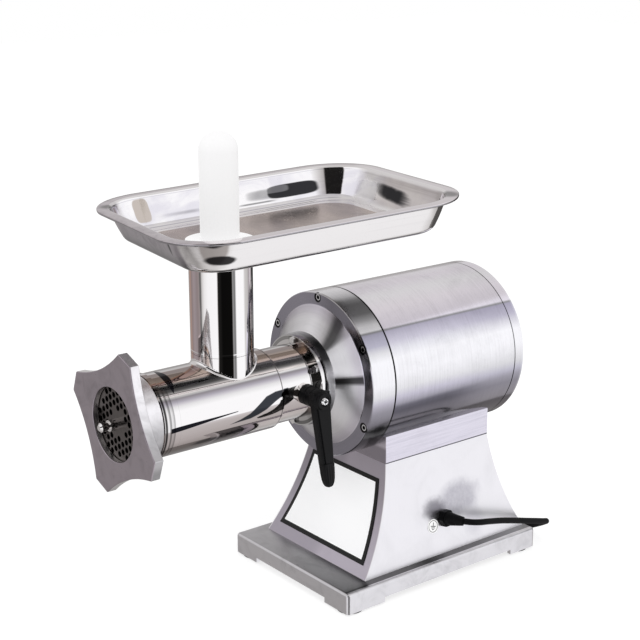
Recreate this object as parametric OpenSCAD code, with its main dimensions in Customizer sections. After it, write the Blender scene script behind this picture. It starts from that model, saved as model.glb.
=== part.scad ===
// Electric meat grinder with a cylindrical motor housing on a flared pedestal.
// Front (the outlet) faces -Y, the cord side faces +X, and Z = 0 is the table.
// The origin lies on the table under the middle of the base.

/* [Base] */
// Width of the base across the machine
base_w = 205; // [196:1:230]
// Length of the base along the machine
base_l = 282; // [276:1:310]
// Height of the base's top face above the table
base_h = 26; // [23:0.5:32]
// Thickness of the base's walls and top
base_wall = 5; // [3:0.5:6]
// Radius of the base's rounded top edge and corners
base_edge = 4; // [2:0.5:5]
// Height of the arches between the feet
arch_h = 8.2; // [6:0.1:10]
// Width of each foot across the machine
foot_w = 40; // [36:1:50]
// Length of each front foot
foot_l_front = 52; // [36:1:60]
// Length of each rear foot
foot_l_rear = 39; // [36:1:60]
// Diameter of the rubber pads
pad_d = 28; // [20:1:30]
// Height of the rubber pads below the feet
pad_h = 2.5; // [1.5:0.1:4]

/* [Pedestal] */
// Width of the pedestal where it stands on the base
ped_w = 176; // [160:1:184]
// Reach of the pedestal's foot towards the front
ped_front = 105; // [90:1:120]
// Reach of the pedestal's foot towards the rear
ped_rear = 135; // [125:1:136]
// Width of the neck above the crease
neck_w = 130; // [116:1:140]
// Reach of the neck towards the front
neck_front = 58; // [50:1:62]
// Reach of the neck towards the rear
neck_rear = 95; // [80:1:100]
// Height of the crease between pedestal and neck
crease_z = 142; // [130:1:144]
// Radius of the hollow curve on the front and rear faces
flare_r = 260; // [200:5:400]
// Thickness of the pedestal's walls
ped_wall = 3; // [2:0.5:4]
// Thickness of the neck's walls
neck_wall = 5; // [3:0.5:8]
// Width of the window through the base under the pedestal
window_w = 110; // [90:1:120]
// Length of the window
window_l = 170; // [150:1:180]
// Thickness of the plate that closes the window from below
cover_t = 2; // [1:0.5:4]
// Bare margin at the sides of the front plate
plate_margin = 10.5; // [6:0.5:20]
// Height of the front plate's lower edge
plate_low = 37.5; // [32:0.5:50]
// Height of the front plate's upper edge
plate_high = 124; // [100:1:130]
// Thickness of the front plate
plate_t = 0.6; // [0.4:0.1:1.5]

/* [Motor housing] */
// Height of the machine's axis
axis_z = 237; // [235:1:245]
// Diameter of the housing
housing_d = 182; // [180:1:190]
// Thickness of the housing's wall
housing_wall = 9; // [8:0.5:10]
// Distance from the origin forward to the seam of the front cover
seam_f = 67.5; // [66:0.5:70]
// Length of the housing tube
housing_l = 176.5; // [170:0.5:190]
// Thickness of the gaskets at both seams
gasket_t = 0.8; // [0.5:0.1:1.5]
// Length of the front cover's rim
cover_l = 30.2; // [29:0.2:34]
// Radius where the front cover's cone starts
cone_r = 77.5; // [72:0.5:79]
// Length of the cone
cone_l = 17.5; // [15:0.5:22]
// Length of the rear cap
cap_l = 14.8; // [14:0.2:20]
// Thickness of the rear cap's end wall
cap_wall = 5; // [3:0.5:6]
// Radius of the circle that the cover screws stand on
screw_ring_r = 85.5; // [85:0.5:86]
// Turn of the cover screws from the horizontal
screw_turn = 31.7; // [20:0.1:40]
// Number of cover screws at each end
screw_n = 6; // [4:1:8]
// Diameter of the cover screws' threads
screw_d = 4; // [3:0.5:4]
// Diameter of the cover screws' heads
screw_head_d = 7; // [6:0.5:8]

/* [Head socket] */
// Radius of the satin ring at the tip of the cone
hub_r = 50.2; // [48:0.1:54]
// Thickness of the satin ring
hub_t = 9.8; // [8:0.2:12]
// Radius of the polished flange
flange_r = 49.4; // [48.5:0.1:53]
// Thickness of the polished flange
flange_t = 6.5; // [5:0.5:8]
// Radius of the circle of flange bolts
bolt_ring_r = 44.9; // [44.6:0.1:45.2]
// Number of flange bolts
bolt_n = 6; // [4:1:6]
// Diameter of the flange bolts' threads
bolt_d = 4; // [3:0.5:5]
// Width of the flange bolts' heads across flats
bolt_af = 7; // [6:0.5:7]
// Outer radius of the socket tube
socket_r = 40.4; // [40.2:0.1:40.6]
// Wall of the socket tube
socket_wall = 2.9; // [2:0.1:3.2]
// Length from the flange's back face to the mouth of the socket
socket_l = 51.8; // [46:0.2:60]

/* [Grinding head] */
// Outer radius of the barrel
barrel_r = 43.2; // [42:0.1:43.4]
// Wall of the barrel
barrel_wall = 5.2; // [4.4:0.1:5.4]
// Length of the barrel's spigot inside the socket
spigot_l = 40; // [30:1:44]
// Wall of the spigot
spigot_wall = 4; // [3:0.5:4.5]
// Length of the barrel in front of the socket
barrel_l = 171.4; // [165:0.2:190]
// Radius of the bead behind the ring nut
bead_r = 44.6; // [44:0.1:45.4]
// Width of the bead
bead_w = 6; // [4:0.5:8]
// Distance from the socket's mouth forward to the feed tube's axis
feed_f = 46.8; // [42:0.2:60]
// Outer radius of the feed tube
feed_r = 32.5; // [31:0.5:34]
// Wall of the feed tube
feed_wall = 2.5; // [2:0.5:3]
// Height of the feed stub's rim above the machine's axis
stub_h = 52; // [48:1:60]
// Diameter of the grinding plate
disc_d = 80; // [79:0.2:80.4]
// Thickness of the grinding plate
disc_t = 9; // [7:0.5:11]
// Diameter of the plate's holes
hole_d = 6; // [4.5:0.5:6.5]
// Spacing of the plate's holes
hole_pitch = 8; // [7.5:0.1:10]
// Radius of the plate's solid middle
disc_hub_r = 11; // [10:0.5:16]
// Thickness of the knife
knife_t = 8; // [6:0.5:9]
// Radius of the knife's arms
knife_r = 37; // [34:0.5:37.4]
// Radius of the auger's core
core_r = 13; // [11:0.5:16]
// Length of one turn of the auger's flight
auger_pitch = 42; // [36:1:60]
// Radius of the stud on the auger's front end
stud_r = 5.8; // [5:0.1:7]
// Reach of the stud in front of the ring nut
stud_out = 15; // [13:0.5:20]
// Width of the auger's square tang
tang_w = 14; // [12:0.5:16]
// Length of the tang
tang_l = 13; // [10:0.5:15]

/* [Ring nut] */
// Radius to the corners of the ring nut's star
star_r = 78.3; // [74:0.1:84]
// Radius to the bottom of the star's hollow sides
star_waist_r = 56; // [52:0.5:60]
// Half of the angle that each blunt corner spans
star_corner_a = 8.4; // [6:0.1:12]
// Turn of the star from the horizontal
star_turn = 69.6; // [0:0.1:90]
// Thickness of the star
star_t = 10.7; // [9:0.1:14]
// Radius of the ring nut's mouth
mouth_r = 38.1; // [36:0.1:38.6]
// Thickness of the lip that holds the plate
lip_t = 6.7; // [4:0.1:8]
// Length of the sleeve behind the star
sleeve_l = 21; // [16:0.5:24]
// Wall of the sleeve
sleeve_wall = 2; // [1.5:0.1:2.4]

/* [Tray and pusher] */
// Width of the tray over its lip
tray_w = 258; // [235:1:280]
// Length of the tray over its lip
tray_l = 331; // [310:1:360]
// Distance from the feed tube's axis back to the middle of the tray
tray_back = 67.5; // [60:0.5:72]
// Depth of the tray from lip to floor
tray_d = 36.2; // [33:0.2:45]
// Width of the flat lip
tray_lip = 12.6; // [10:0.2:18]
// Corner radius of the lip
tray_corner = 64; // [55:1:70]
// Slope of the walls above the horizontal
tray_slope = 68; // [60:1:80]
// Radius of the bend between wall and floor
tray_bend = 8; // [6:1:14]
// Thickness of the sheet
tray_t = 1.2; // [1:0.1:1.6]
// Height of the edge folded down around the lip
tray_hem = 3; // [2:0.5:8]
// Angle that the tray is turned about its feed tube
tray_turn = -7.7; // [-12:0.1:12]
// Angle that the tray rises towards its rear
tray_tilt = 2.9; // [0:0.1:4]
// Height of the tray's floor above the feed stub's rim
tube_h = 110; // [100:0.5:120]
// Depth of the tube's spigot in the stub
tube_spigot = 12; // [8:1:16]
// Radius of the pusher's handle
push_r = 19.8; // [17:0.2:22]
// Height of the pusher above the tray's floor
push_h = 112; // [100:1:140]
// Radius of the pusher's flange
push_flange_r = 35; // [34:0.5:42]
// Thickness of the pusher's flange
push_flange_t = 3; // [3:0.5:6]
// Radius of the plunger below the flange
plunger_r = 24; // [22:0.5:26]
// Length of the plunger
plunger_l = 92; // [70:1:96]

/* [Clamp lever] */
// Distance from the flange forward to the lever's stud
lever_f = 18; // [16.5:0.5:22]
// Radius of the lever's hub
lever_hub_r = 11; // [10:0.5:12]
// Reach of the hub outward from the socket's boss
lever_hub_l = 31; // [26:0.5:36]
// Length of the lever from its stud to its tip
lever_l = 95; // [80:1:105]
// Lean of the lever away from the machine
lever_lean = 9; // [5:0.5:14]
// Radius of the lever's stud
lever_stud_r = 4; // [3:0.5:5]

/* [Motor and gears] */
// Length of the stator
stator_l = 80; // [70:1:84]
// Bore of the stator
stator_bore_r = 48; // [44:0.5:50]
// Number of stator slots
slot_n = 24; // [18:6:30]
// Gap between rotor and stator
air_gap = 0.5; // [0.4:0.1:1]
// Radius of the rotor's shaft in its core
rotor_shaft_r = 10; // [9:0.5:11]
// Gear module
gear_m = 1.6; // [1.5:0.05:1.65]
// Teeth of both pinions
pinion_z = 14; // [14:1:15]
// Teeth of both large gears
wheel_z = 40; // [38:1:41]
// Width of the large gears
wheel_w = 10; // [8:0.5:10.5]
// Radius of the output shaft
out_r = 12.5; // [11.5:0.5:13]
// Radius of the coupling on the output shaft
coupling_r = 16; // [15:0.5:18]

/* [Controls] */
// Distance of the switch behind the origin
switch_y = 12; // [0:1:24]
// Height of the switch
switch_z = 88; // [80:1:96]
// Width of the switch frame along the machine
switch_w = 62; // [56:1:70]
// Height of the switch frame
switch_h = 38; // [34:1:42]
// Diameter of the push buttons
button_d = 18; // [16:1:20]
// Travel of the push buttons
button_travel = 3; // [2:0.5:4]

/* [Cord] */
// Distance of the gland behind the origin
gland_y = 16; // [12:1:18]
// Height of the gland
gland_z = 64.5; // [62:0.5:68]
// Width of the gland's nut across flats
gland_af = 17; // [16:0.5:18]
// Radius of the rubber boot at its tip
boot_tip_r = 5; // [4.2:0.1:6]
// Diameter of the mains cord
cord_d = 7; // [6:0.1:7]
// Radius of the coil at the middle of its turns
coil_r = 38; // [35:0.5:40]

/* [Fits] */
// Radial clearance of a running fit
run_gap = 0.05; // [0.02:0.01:0.09]
// Clearance between pieces that slide or turn face to face
face_gap = 0.3; // [0.25:0.05:0.4]
// Gap under pieces that are glued or rest on a curved face
seat_gap = 0.1; // [0.05:0.05:0.2]

/* [Hidden] */
$fn = 96;

// Stations along the axis, measured forward from the origin
housing_r = housing_d / 2;
housing_in = housing_r - housing_wall;
rear_f = seam_f - housing_l;
cap_f = rear_f - gasket_t - cap_l;
cover_f = seam_f + gasket_t;
face_f = cover_f + cover_l;
nose_f = face_f + cone_l;
flange_f = nose_f + hub_t;
flange_front_f = flange_f + flange_t;
mouth_f = flange_f + socket_l;
spigot_f = mouth_f - spigot_l;
barrel_end_f = mouth_f + barrel_l;
disc_front_f = barrel_end_f + face_gap;
disc_back_f = disc_front_f - disc_t;
lip_back_f = disc_front_f + face_gap;
ring_front_f = lip_back_f + lip_t;
star_back_f = ring_front_f - star_t;
sleeve_back_f = star_back_f - sleeve_l;
knife_front_f = disc_back_f - face_gap;
auger_front_f = knife_front_f - knife_t;
lever_at_f = flange_front_f + lever_f;

// Radii that follow from the fits
barrel_in = barrel_r - barrel_wall;
flight_r = barrel_in - 2 * face_gap;
socket_in = socket_r - socket_wall;
spigot_r = socket_in - run_gap;
spigot_in = spigot_r - spigot_wall;
disc_r = disc_d / 2;
seat_r = disc_r + run_gap;
thread_r = (barrel_r + seat_r) / 2 + 1.4;
sleeve_in = thread_r + face_gap;
sleeve_r = sleeve_in + sleeve_wall;
knife_hub_r = core_r - 1;

// Drive train: a reverted train, so rotor and output share the machine's axis
wheel_r = gear_m * wheel_z / 2;
pinion_r = gear_m * pinion_z / 2;
shaft_offset = wheel_r + pinion_r;
gear_backlash = 0.16;
pressure_a = 20;
gear1_f = cover_f + 1.2;
gear2_f = gear1_f + wheel_w + 2;
gearbox_f = gear2_f + wheel_w + 1.5;
gearbox_r = housing_in - 2;
counter_turn = -90;
small_bearing_r = 13;
small_bearing_w = 8;
small_journal_r = 5;
rotor_bearing_r = 20;
rotor_bearing_w = 12;
rotor_journal_r = rotor_shaft_r - 1.5;
out_bearing_r = 23.5;
out_bearing_w = 8;
gear_plate_t = 14;
plate_back_f = seam_f - gear_plate_t;
stator_f = plate_back_f - 28 - stator_l;
winding_l = 20;
fan_w = 14;
fan_sheet = 2;
fan_hub_r = rotor_shaft_r * 1.8;
fan_r = housing_in * 0.756;
fan_f = rear_f + 11;
cap_boss_f = rear_f + 4;
rear_bearing_f = cap_boss_f - rotor_bearing_w;
coupling_end_f = flange_front_f + 17;
tang_back_f = coupling_end_f - tang_l;

// Tray and feed tube, measured up from the table
feed_y = -(mouth_f + feed_f);
stub_z = axis_z + stub_h;
floor_z = stub_z + tube_h;
feed_in = feed_r - feed_wall;
tube_sleeve_r = feed_in - run_gap;
tube_sleeve_in = tube_sleeve_r - 2;
tube_rise = feed_r * tan(tray_tilt);
push_z = floor_z + tray_t / cos(tray_tilt) + push_flange_r * tan(tray_tilt) + seat_gap;
pan_w = tray_w - 2 * tray_lip;
pan_l = tray_l - 2 * tray_lip;
pan_corner = tray_corner - tray_lip;
bend_steps = 5;
bend_start = (tray_d - tray_bend * (1 - cos(tray_slope))) / tan(tray_slope) + tray_bend * sin(tray_slope);

// The pedestal's slanted sides
side_a = atan((ped_w - neck_w) / 2 / (crease_z - base_h));
function side_x(z) = neck_w / 2 + (crease_z - z) * tan(side_a);
function side_normal() = [cos(side_a), 0, sin(side_a)];

// Centre of the hollow curve through the crease (near) and the foot (far), as [reach, height]
function flare_centre(near, far) =
    let (mid = [(near + far) / 2, (crease_z + base_h) / 2],
         span = [far - near, base_h - crease_z],
         half = norm(span) / 2,
         out = [-span[1], span[0]] / norm(span))
    mid + out * sqrt(flare_r * flare_r - half * half);

// The star's hollow sides: distance and radius of the circle that cuts each one
waist_a = 45 - star_corner_a;
star_cut_c = (star_r * star_r - star_waist_r * star_waist_r)
    / (2 * (star_r * cos(waist_a) - star_waist_r));
star_cut_r = star_cut_c - star_waist_r;

// The boot and the cord: out of the gland, round to the rear and down behind the base
gland_nut_l = 8;
boot_start = [side_x(gland_z), gland_y, gland_z] + side_normal() * gland_nut_l;
boot_route = [boot_start, [92.5, 16.2, 66.8], [97.4, 17, 67.4], [102, 18.8, 67.6], [106.5, 21.4, 67.6]];
cord_r = cord_d / 2;
cord_route = [boot_route[4], [110, 24.4, 67.4], [114.4, 30, 66.8], [117.2, 36.8, 66], [118.2, 44, 65],
    [118.4, 56, 62.6], [118.5, 70, 59.4], [118.5, 84, 55.6], [118.5, 98, 51.6], [118.3, 112, 47.4],
    [118, 127, 43], [116.2, 140, 38.6], [110.8, 151, 33.8], [102, 159, 28], [91.5, 164, 21.4],
    [79.5, 165.5, 14.6], [68, 164.5, 9], [56, 162, 5.6], [43, 158.6, 4], [28, 154.8, 3.6],
    [10, 151.4, 3.6], [-8, 149, 3.6], [-26, 148, 3.6], [-44, 147.6, 3.6], [-64, 147.5, 3.6]];
coil_at = [-80, 147.5 + coil_r + cord_d];
coil_rows = 3;
coil_layers = 2;
coil_half_w = coil_rows * cord_r;
coil_h = coil_layers * cord_d + 0.3;
plug_body = [34, 26, 21.4];
plug_tail_l = 26;
plug_at = [coil_at[0] - 11 - plug_tail_l, coil_at[1] - coil_r - cord_d, plug_body[2] / 2];

module on_axis() translate([0, 0, axis_z]) rotate([90, 0, 0]) children();

module on_countershaft() on_axis() rotate(counter_turn) translate([shaft_offset, 0, 0]) children();

module rod(r, a, b) translate([0, 0, a]) cylinder(r = r, h = b - a);

module tube(r_out, r_in, a, b) difference() {
    rod(r_out, a, b);
    rod(r_in, a - 1, b + 1);
}

module ring_of(n, r, turn) for (i = [0 : n - 1]) rotate(turn + 360 * i / n) translate([r, 0, 0]) children();

// Puts children on a slanted side: local Z points out of the pedestal, local X along the machine
module on_side(side, y, z) translate([side * side_x(z), y, z])
    rotate([0, side * (90 - side_a), 0]) rotate(side * 90) children();

module box(w, l, a, b) translate([-w / 2, -l / 2, a]) cube([w, l, b - a]);

module at_corners(w, l) for (x = [-1, 1], y = [-1, 1]) translate([x * w / 2, y * l / 2, 0]) children();

module rounded_slab(w, l, r, a, b) {
    box(w - 2 * r, l, a, b);
    box(w, l - 2 * r, a, b);
    at_corners(w - 2 * r, l - 2 * r) rod(r, a, b);
}

// A slab whose upper edges and upright corners share one radius
module soft_slab(w, l, r, a, b) {
    rounded_slab(w, l, r, a, b - r);
    box(w - 2 * r, l - 2 * r, a, b);
    at_corners(w - 2 * r, l - 2 * r) translate([0, 0, b - r]) sphere(r = r);
    for (x = [-1, 1]) translate([x * (w / 2 - r), 0, b - r]) rotate([90, 0, 0]) rod(r, r - l / 2, l / 2 - r);
    for (y = [-1, 1]) translate([0, y * (l / 2 - r), b - r]) rotate([0, 90, 0]) rod(r, r - w / 2, w / 2 - r);
}

module hex_prism(af, a, b) translate([0, 0, a]) cylinder(r = af / 2 / cos(30), h = b - a, $fn = 6);

// ---- Base ----
pad_inset = pad_d / 2 + 2;
block_w = pad_d + 4;
plug_hole_r = 4;
foot_hole_r = 2.2;
pad_plug_l = pad_d * 2 / 7;
base_in_top = base_h - base_wall;
window_ledge = 8;
cover_hole_w = window_w + window_ledge;
cover_hole_l = window_l + window_ledge;

module base_plate() color("silver") difference() {
    soft_slab(base_w, base_l, base_edge, pad_h, base_h);
    difference() {
        box(base_w - 2 * base_wall, base_l - 2 * base_wall, 0, base_in_top);
        at_corners(base_w - block_w, base_l - block_w) box(block_w, block_w, 0, base_in_top + 1);
    }
    box(base_w - 2 * foot_w, base_l + 2, 0, arch_h);
    translate([0, (foot_l_front - foot_l_rear) / 2, 0])
        box(base_w + 2, base_l - foot_l_front - foot_l_rear, 0, arch_h);
    box(window_w, window_l, base_in_top - 1, base_h + 1);
    at_corners(cover_hole_w, cover_hole_l) rod(screw_d / 2 - 0.4, base_in_top - 1, base_h - 1);
    at_corners(base_w - 2 * pad_inset, base_l - 2 * pad_inset) rod(plug_hole_r + run_gap, 0, pad_h + pad_plug_l + 1);
}

module bottom_cover() color("silver") difference() {
    box(window_w + 2 * window_ledge, window_l + 2 * window_ledge, base_in_top - cover_t, base_in_top);
    at_corners(cover_hole_w, cover_hole_l) rod(screw_d / 2, 0, base_h);
}

module cover_screws() color("gray") at_corners(cover_hole_w, cover_hole_l) {
    rod(screw_d / 2 - 0.4 - run_gap, base_in_top - cover_t - 0.1, base_h - 1.5);
    rod(screw_head_d / 2, base_in_top - cover_t - 2, base_in_top - cover_t);
}

module rubber_feet() color("black") at_corners(base_w - 2 * pad_inset, base_l - 2 * pad_inset) difference() {
    union() {
        rod(pad_d / 2, 0, pad_h);
        rod(plug_hole_r, pad_h - 0.1, pad_h + pad_plug_l);
    }
    rod(foot_hole_r, -1, pad_h + pad_plug_l - 1);
}

// ---- Pedestal ----
module flare_cut(near, far, inset, way) {
    c = flare_centre(near, far);
    translate([0, way * c[0], c[1]]) rotate([0, 90, 0]) translate([0, 0, -base_w])
        cylinder(r = flare_r + inset, h = 2 * base_w, $fn = 180);
}

module slant_prism(inset, low, high) {
    slip = inset / cos(side_a);
    rotate([90, 0, 0]) translate([0, 0, -base_l]) linear_extrude(2 * base_l)
        polygon([[-side_x(low) + slip, low], [side_x(low) - slip, low],
            [side_x(high) - slip, high], [-side_x(high) + slip, high]]);
}

module pedestal_form(inset, low, high) difference() {
    slant_prism(inset, low, high);
    flare_cut(neck_front, ped_front, inset, -1);
    flare_cut(neck_rear, ped_rear, inset, 1);
}

wire_hole_r = 10;
switch_cut_w = switch_w - 8;
switch_cut_h = switch_h - 8;
gland_thread_r = 8;

module pedestal() color("lightgray") difference() {
    pedestal_form(0, base_h, crease_z);
    pedestal_form(ped_wall, base_h - 1, crease_z - ped_wall);
    rod(wire_hole_r, crease_z - 2 * ped_wall, crease_z + 1);
    on_side(-1, switch_y, switch_z) box(switch_cut_w, switch_cut_h, -20, 20);
    on_side(1, gland_y, gland_z) rod(gland_thread_r + run_gap, -20, 20);
}

module neck_box(inset, low) translate([-neck_w / 2 + inset, -neck_front + inset, low])
    cube([neck_w - 2 * inset, neck_front + neck_rear - 2 * inset, axis_z - low]);

module neck_saddle() color("silver") difference() {
    neck_box(0, crease_z);
    neck_box(neck_wall, crease_z - 1);
    on_axis() rod(housing_r, -base_l, base_l);
}

module front_label_plate() color("white") {
    c = flare_centre(neck_front, ped_front);
    intersection() {
        translate([0, -c[0], c[1]]) rotate([0, 90, 0]) difference() {
            cylinder(r = flare_r - seat_gap, h = base_w, center = true, $fn = 180);
            cylinder(r = flare_r - seat_gap - plate_t, h = base_w + 2, center = true, $fn = 180);
        }
        slant_prism(plate_margin, plate_low, plate_high);
        translate([-ped_w, -ped_front, plate_low]) cube([2 * ped_w, ped_front, plate_high - plate_low]);
    }
}

earth_r = 8;
earth_t = 0.5;
earth_gap = 17.5;
earth_drop = 5.3;

module earth_mark() color("white") on_side(1, gland_y - earth_gap, gland_z - earth_drop) rod(earth_r, 0, earth_t);

capacitor_r = 20;
capacitor_l = 84;
capacitor_at = [-24, 30, base_in_top + capacitor_r + 2];

module capacitor() color("gainsboro") translate(capacitor_at) rotate([90, 0, 0]) {
    rod(capacitor_r, -capacitor_l / 2, capacitor_l / 2);
    for (x = [-6, 6]) translate([x - 3, -0.5, capacitor_l / 2 - 0.1]) cube([6, 1, 10]);
}

clip_w = 14;

module capacitor_clip() color("gray") difference() {
    union() {
        translate(capacitor_at) rotate([90, 0, 0]) rod(capacitor_r + 2, -clip_w / 2, clip_w / 2);
        translate([capacitor_at[0], capacitor_at[1], 0]) box(2 * capacitor_r + 20, clip_w, base_in_top, base_in_top + 2);
    }
    translate(capacitor_at) rotate([90, 0, 0]) rod(capacitor_r + run_gap, -clip_w, clip_w);
}

module terminal_block() color("ivory") translate([32, 20, 0]) difference() {
    box(22, 60, base_in_top, base_in_top + 18);
    for (i = [-2 : 2]) translate([0, 11 * i, base_in_top + 10]) rod(2.5, 0, 10);
}

// ---- Controls ----
frame_t = 4;
frame_depth = 16;
button_gap = switch_w / 4;
button_proud = 4.5;

module switch_frame() color("black") on_side(-1, switch_y, switch_z) difference() {
    union() {
        rounded_slab(switch_w, switch_h, 4, 0, frame_t);
        box(switch_cut_w - 2 * run_gap, switch_cut_h - 2 * run_gap, -frame_depth, 0.1);
    }
    for (s = [-1, 1]) translate([s * button_gap, 0, 0]) {
        rod(button_d / 2 + face_gap, -frame_t - button_travel - face_gap, frame_t + 1);
        rod(button_d / 4 + face_gap, -frame_depth - 1, 0);
    }
}

module push_button(side) on_side(-1, switch_y, switch_z) translate([side * button_gap, 0, 0]) {
    rod(button_d / 2, -frame_t, frame_t + button_proud - 1);
    translate([0, 0, frame_t + button_proud - 1]) cylinder(r1 = button_d / 2, r2 = button_d / 2 - 1, h = 1);
    rod(button_d / 4, -frame_depth + button_travel, -frame_t + 0.1);
}

module on_button() color("green") push_button(-1);
module off_button() color("red") push_button(1);

// ---- Cord ----
module cord_gland() color("black") {
    on_side(1, gland_y, gland_z) {
        rod(gland_thread_r, -ped_wall - 8, 0.1);
        hex_prism(gland_af, 0, gland_nut_l);
        tube(gland_thread_r + 4, gland_thread_r - 1, -ped_wall - 6, -ped_wall);
    }
    swept_tube(boot_route, [for (i = [0 : 4]) gland_thread_r + (boot_tip_r - gland_thread_r) * i / 4], 16);
}

function unit(v) = v / norm(v);
function tangent(path, i) = unit(path[min(i + 1, len(path) - 1)] - path[max(i - 1, 0)]);
function ring_points(path, i, r, sides) =
    let (t = tangent(path, i), u = unit(cross([0, 0, 1], t)), v = cross(t, u))
    [for (k = [0 : sides - 1]) path[i] + r * (cos(360 * k / sides) * u + sin(360 * k / sides) * v)];

// A tube through the points of path, with one radius for each point
module swept_tube(path, radii, sides) {
    n = len(path);
    points = [for (i = [0 : n - 1]) each ring_points(path, i, radii[i], sides)];
    skin = [for (i = [0 : n - 2], k = [0 : sides - 1])
        [(i + 1) * sides + k, (i + 1) * sides + (k + 1) % sides, i * sides + (k + 1) % sides, i * sides + k]];
    first = [for (k = [0 : sides - 1]) k];
    last = [for (k = [sides - 1 : -1 : 0]) (n - 1) * sides + k];
    polyhedron(points = points, faces = concat([first], skin, [last]));
}

module mains_cord() color("black") swept_tube(cord_route, [for (p = cord_route) cord_r], 10);

module cord_coil() color("black") translate([coil_at[0], coil_at[1], 0]) rotate_extrude()
    translate([coil_r - coil_half_w, 0]) square([2 * coil_half_w, coil_h]);

tie_t = 1.5;
tie_w = 8;

module cord_tie() color("dimgray") translate([coil_at[0], coil_at[1] + coil_r, 0]) {
    difference() {
        translate([-tie_w / 2, -coil_half_w - tie_t - 0.6, 0.1])
            cube([tie_w, 2 * coil_half_w + 2 * tie_t + 1.2, coil_h + tie_t + 0.2]);
        translate([-tie_w, -coil_half_w - 0.6, -1]) cube([2 * tie_w, 2 * coil_half_w + 1.2, coil_h + 1.1]);
    }
}

// The plug lies with its tail towards the coil
module mains_plug() color("black") translate(plug_at) {
    translate([-plug_body[0], -plug_body[1] / 2, -plug_body[2] / 2]) cube(plug_body);
    rotate([0, 90, 0]) rod(6, -0.1, 6);
    rotate([0, 90, 0]) translate([0, 0, 6]) cylinder(r1 = 6, r2 = cord_r + 0.6, h = plug_tail_l - 6);
}

module plug_pins() color("gold") translate(plug_at - [plug_body[0], 0, 0]) {
    for (y = [-1, 1]) translate([-18, y * 6.35 - 0.75, -1]) cube([18, 1.5, 6.3]);
    translate([0, 0, -5]) rotate([0, -90, 0]) rod(2.4, 0, 20);
}

// ---- Housing, covers ----
wire_f = (neck_front - neck_rear) / 2 + 10;
screw_bite = 14;
screw_hole_r = screw_d / 2 + run_gap;

module motor_housing() color("silver") difference() {
    on_axis() tube(housing_r, housing_in, rear_f, seam_f);
    translate([0, -wire_f, axis_z - housing_r - 5]) rod(wire_hole_r - 2, 0, 2 * housing_wall);
    on_axis() ring_of(screw_n, screw_ring_r, screw_turn) rod(screw_hole_r, seam_f - screw_bite, seam_f + 1);
    on_axis() ring_of(screw_n, screw_ring_r, screw_turn) rod(screw_hole_r, rear_f - 1, rear_f + screw_bite);
}

module gasket(f) color("black") on_axis() difference() {
    tube(housing_r - 0.6, housing_in, f, f + gasket_t);
    ring_of(screw_n, screw_ring_r, screw_turn) rod(screw_hole_r, f - 1, f + gasket_t + 1);
}

module front_gasket() gasket(seam_f);
module rear_gasket() gasket(rear_f - gasket_t);

head_depth = 4.2;
seal_r = 19;

module front_cover() color("silver") on_axis() difference() {
    rotate_extrude() polygon([[out_bearing_r, gearbox_f], [out_bearing_r, nose_f], [hub_r, nose_f],
        [cone_r, face_f], [housing_r - 1, face_f], [housing_r, face_f - 1], [housing_r, cover_f],
        [gearbox_r, cover_f], [gearbox_r, gearbox_f]]);
    rotate(counter_turn) translate([shaft_offset, 0, 0]) rod(small_bearing_r + run_gap, gearbox_f - 1, gearbox_f + small_bearing_w);
    ring_of(screw_n, screw_ring_r, screw_turn) {
        rod(screw_hole_r, cover_f - 1, face_f + 1);
        rod(screw_head_d / 2 + 0.6, face_f - head_depth, face_f + 1);
    }
    ring_of(bolt_n, bolt_ring_r, 90) rod(bolt_d / 2 + run_gap, nose_f - 8, nose_f + 1);
}

module socket_screw(head_f, tip_f, way) difference() {
    union() {
        rod(screw_d / 2, min(head_f, tip_f), max(head_f, tip_f));
        rod(screw_head_d / 2, min(head_f, head_f + way * 3.6), max(head_f, head_f + way * 3.6));
    }
    hex_prism(3, min(head_f + way * 1.4, head_f + way * 5), max(head_f + way * 1.4, head_f + way * 5));
}

module front_cover_screws() color("dimgray") on_axis() ring_of(screw_n, screw_ring_r, screw_turn)
    socket_screw(face_f - head_depth, seam_f - screw_bite + 1, 1);

module rear_cap() color("silver") on_axis() difference() {
    rotate_extrude() polygon([[0, cap_f], [housing_r - 2, cap_f], [housing_r, cap_f + 2], [housing_r, rear_f - gasket_t],
        [gearbox_r, rear_f - gasket_t], [gearbox_r, cap_f + cap_wall], [rotor_bearing_r + 6, cap_f + cap_wall],
        [rotor_bearing_r + 6, cap_boss_f], [rotor_bearing_r + run_gap, cap_boss_f],
        [rotor_bearing_r + run_gap, rear_bearing_f], [0, rear_bearing_f]]);
    ring_of(screw_n, screw_ring_r, screw_turn) {
        rod(screw_hole_r, cap_f - 1, rear_f + 1);
        rod(screw_head_d / 2 + 0.6, cap_f - 1, cap_f + head_depth);
    }
}

module rear_cap_screws() color("dimgray") on_axis() ring_of(screw_n, screw_ring_r, screw_turn)
    socket_screw(cap_f + head_depth, rear_f + screw_bite - 1, -1);

// ---- Motor ----
slot_depth = (housing_in - stator_bore_r) * 0.55;
slot_w = 6;

module stator_core() color("slategray") on_axis() difference() {
    tube(housing_in - run_gap, stator_bore_r, stator_f, stator_f + stator_l);
    ring_of(slot_n, stator_bore_r, 0) translate([2, -slot_w / 2, stator_f - 1]) cube([slot_depth, slot_w, stator_l + 2]);
}

module stator_windings() color("peru") on_axis() for (f = [stator_f - winding_l, stator_f + stator_l])
    tube(stator_bore_r + 4 + slot_depth, stator_bore_r + 3, f, f + winding_l);

module gear_plate() color("lightgray") on_axis() difference() {
    rod(housing_in - run_gap, plate_back_f, seam_f);
    rod(rotor_bearing_r + run_gap, seam_f - rotor_bearing_w, seam_f + 1);
    rod(rotor_bearing_r - 4, plate_back_f - 1, seam_f);
    rotate(counter_turn) translate([shaft_offset, 0, 0]) rod(small_bearing_r + run_gap, seam_f - small_bearing_w, seam_f + 1);
    rod(5, plate_back_f - 1, plate_back_f);
}

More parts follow.
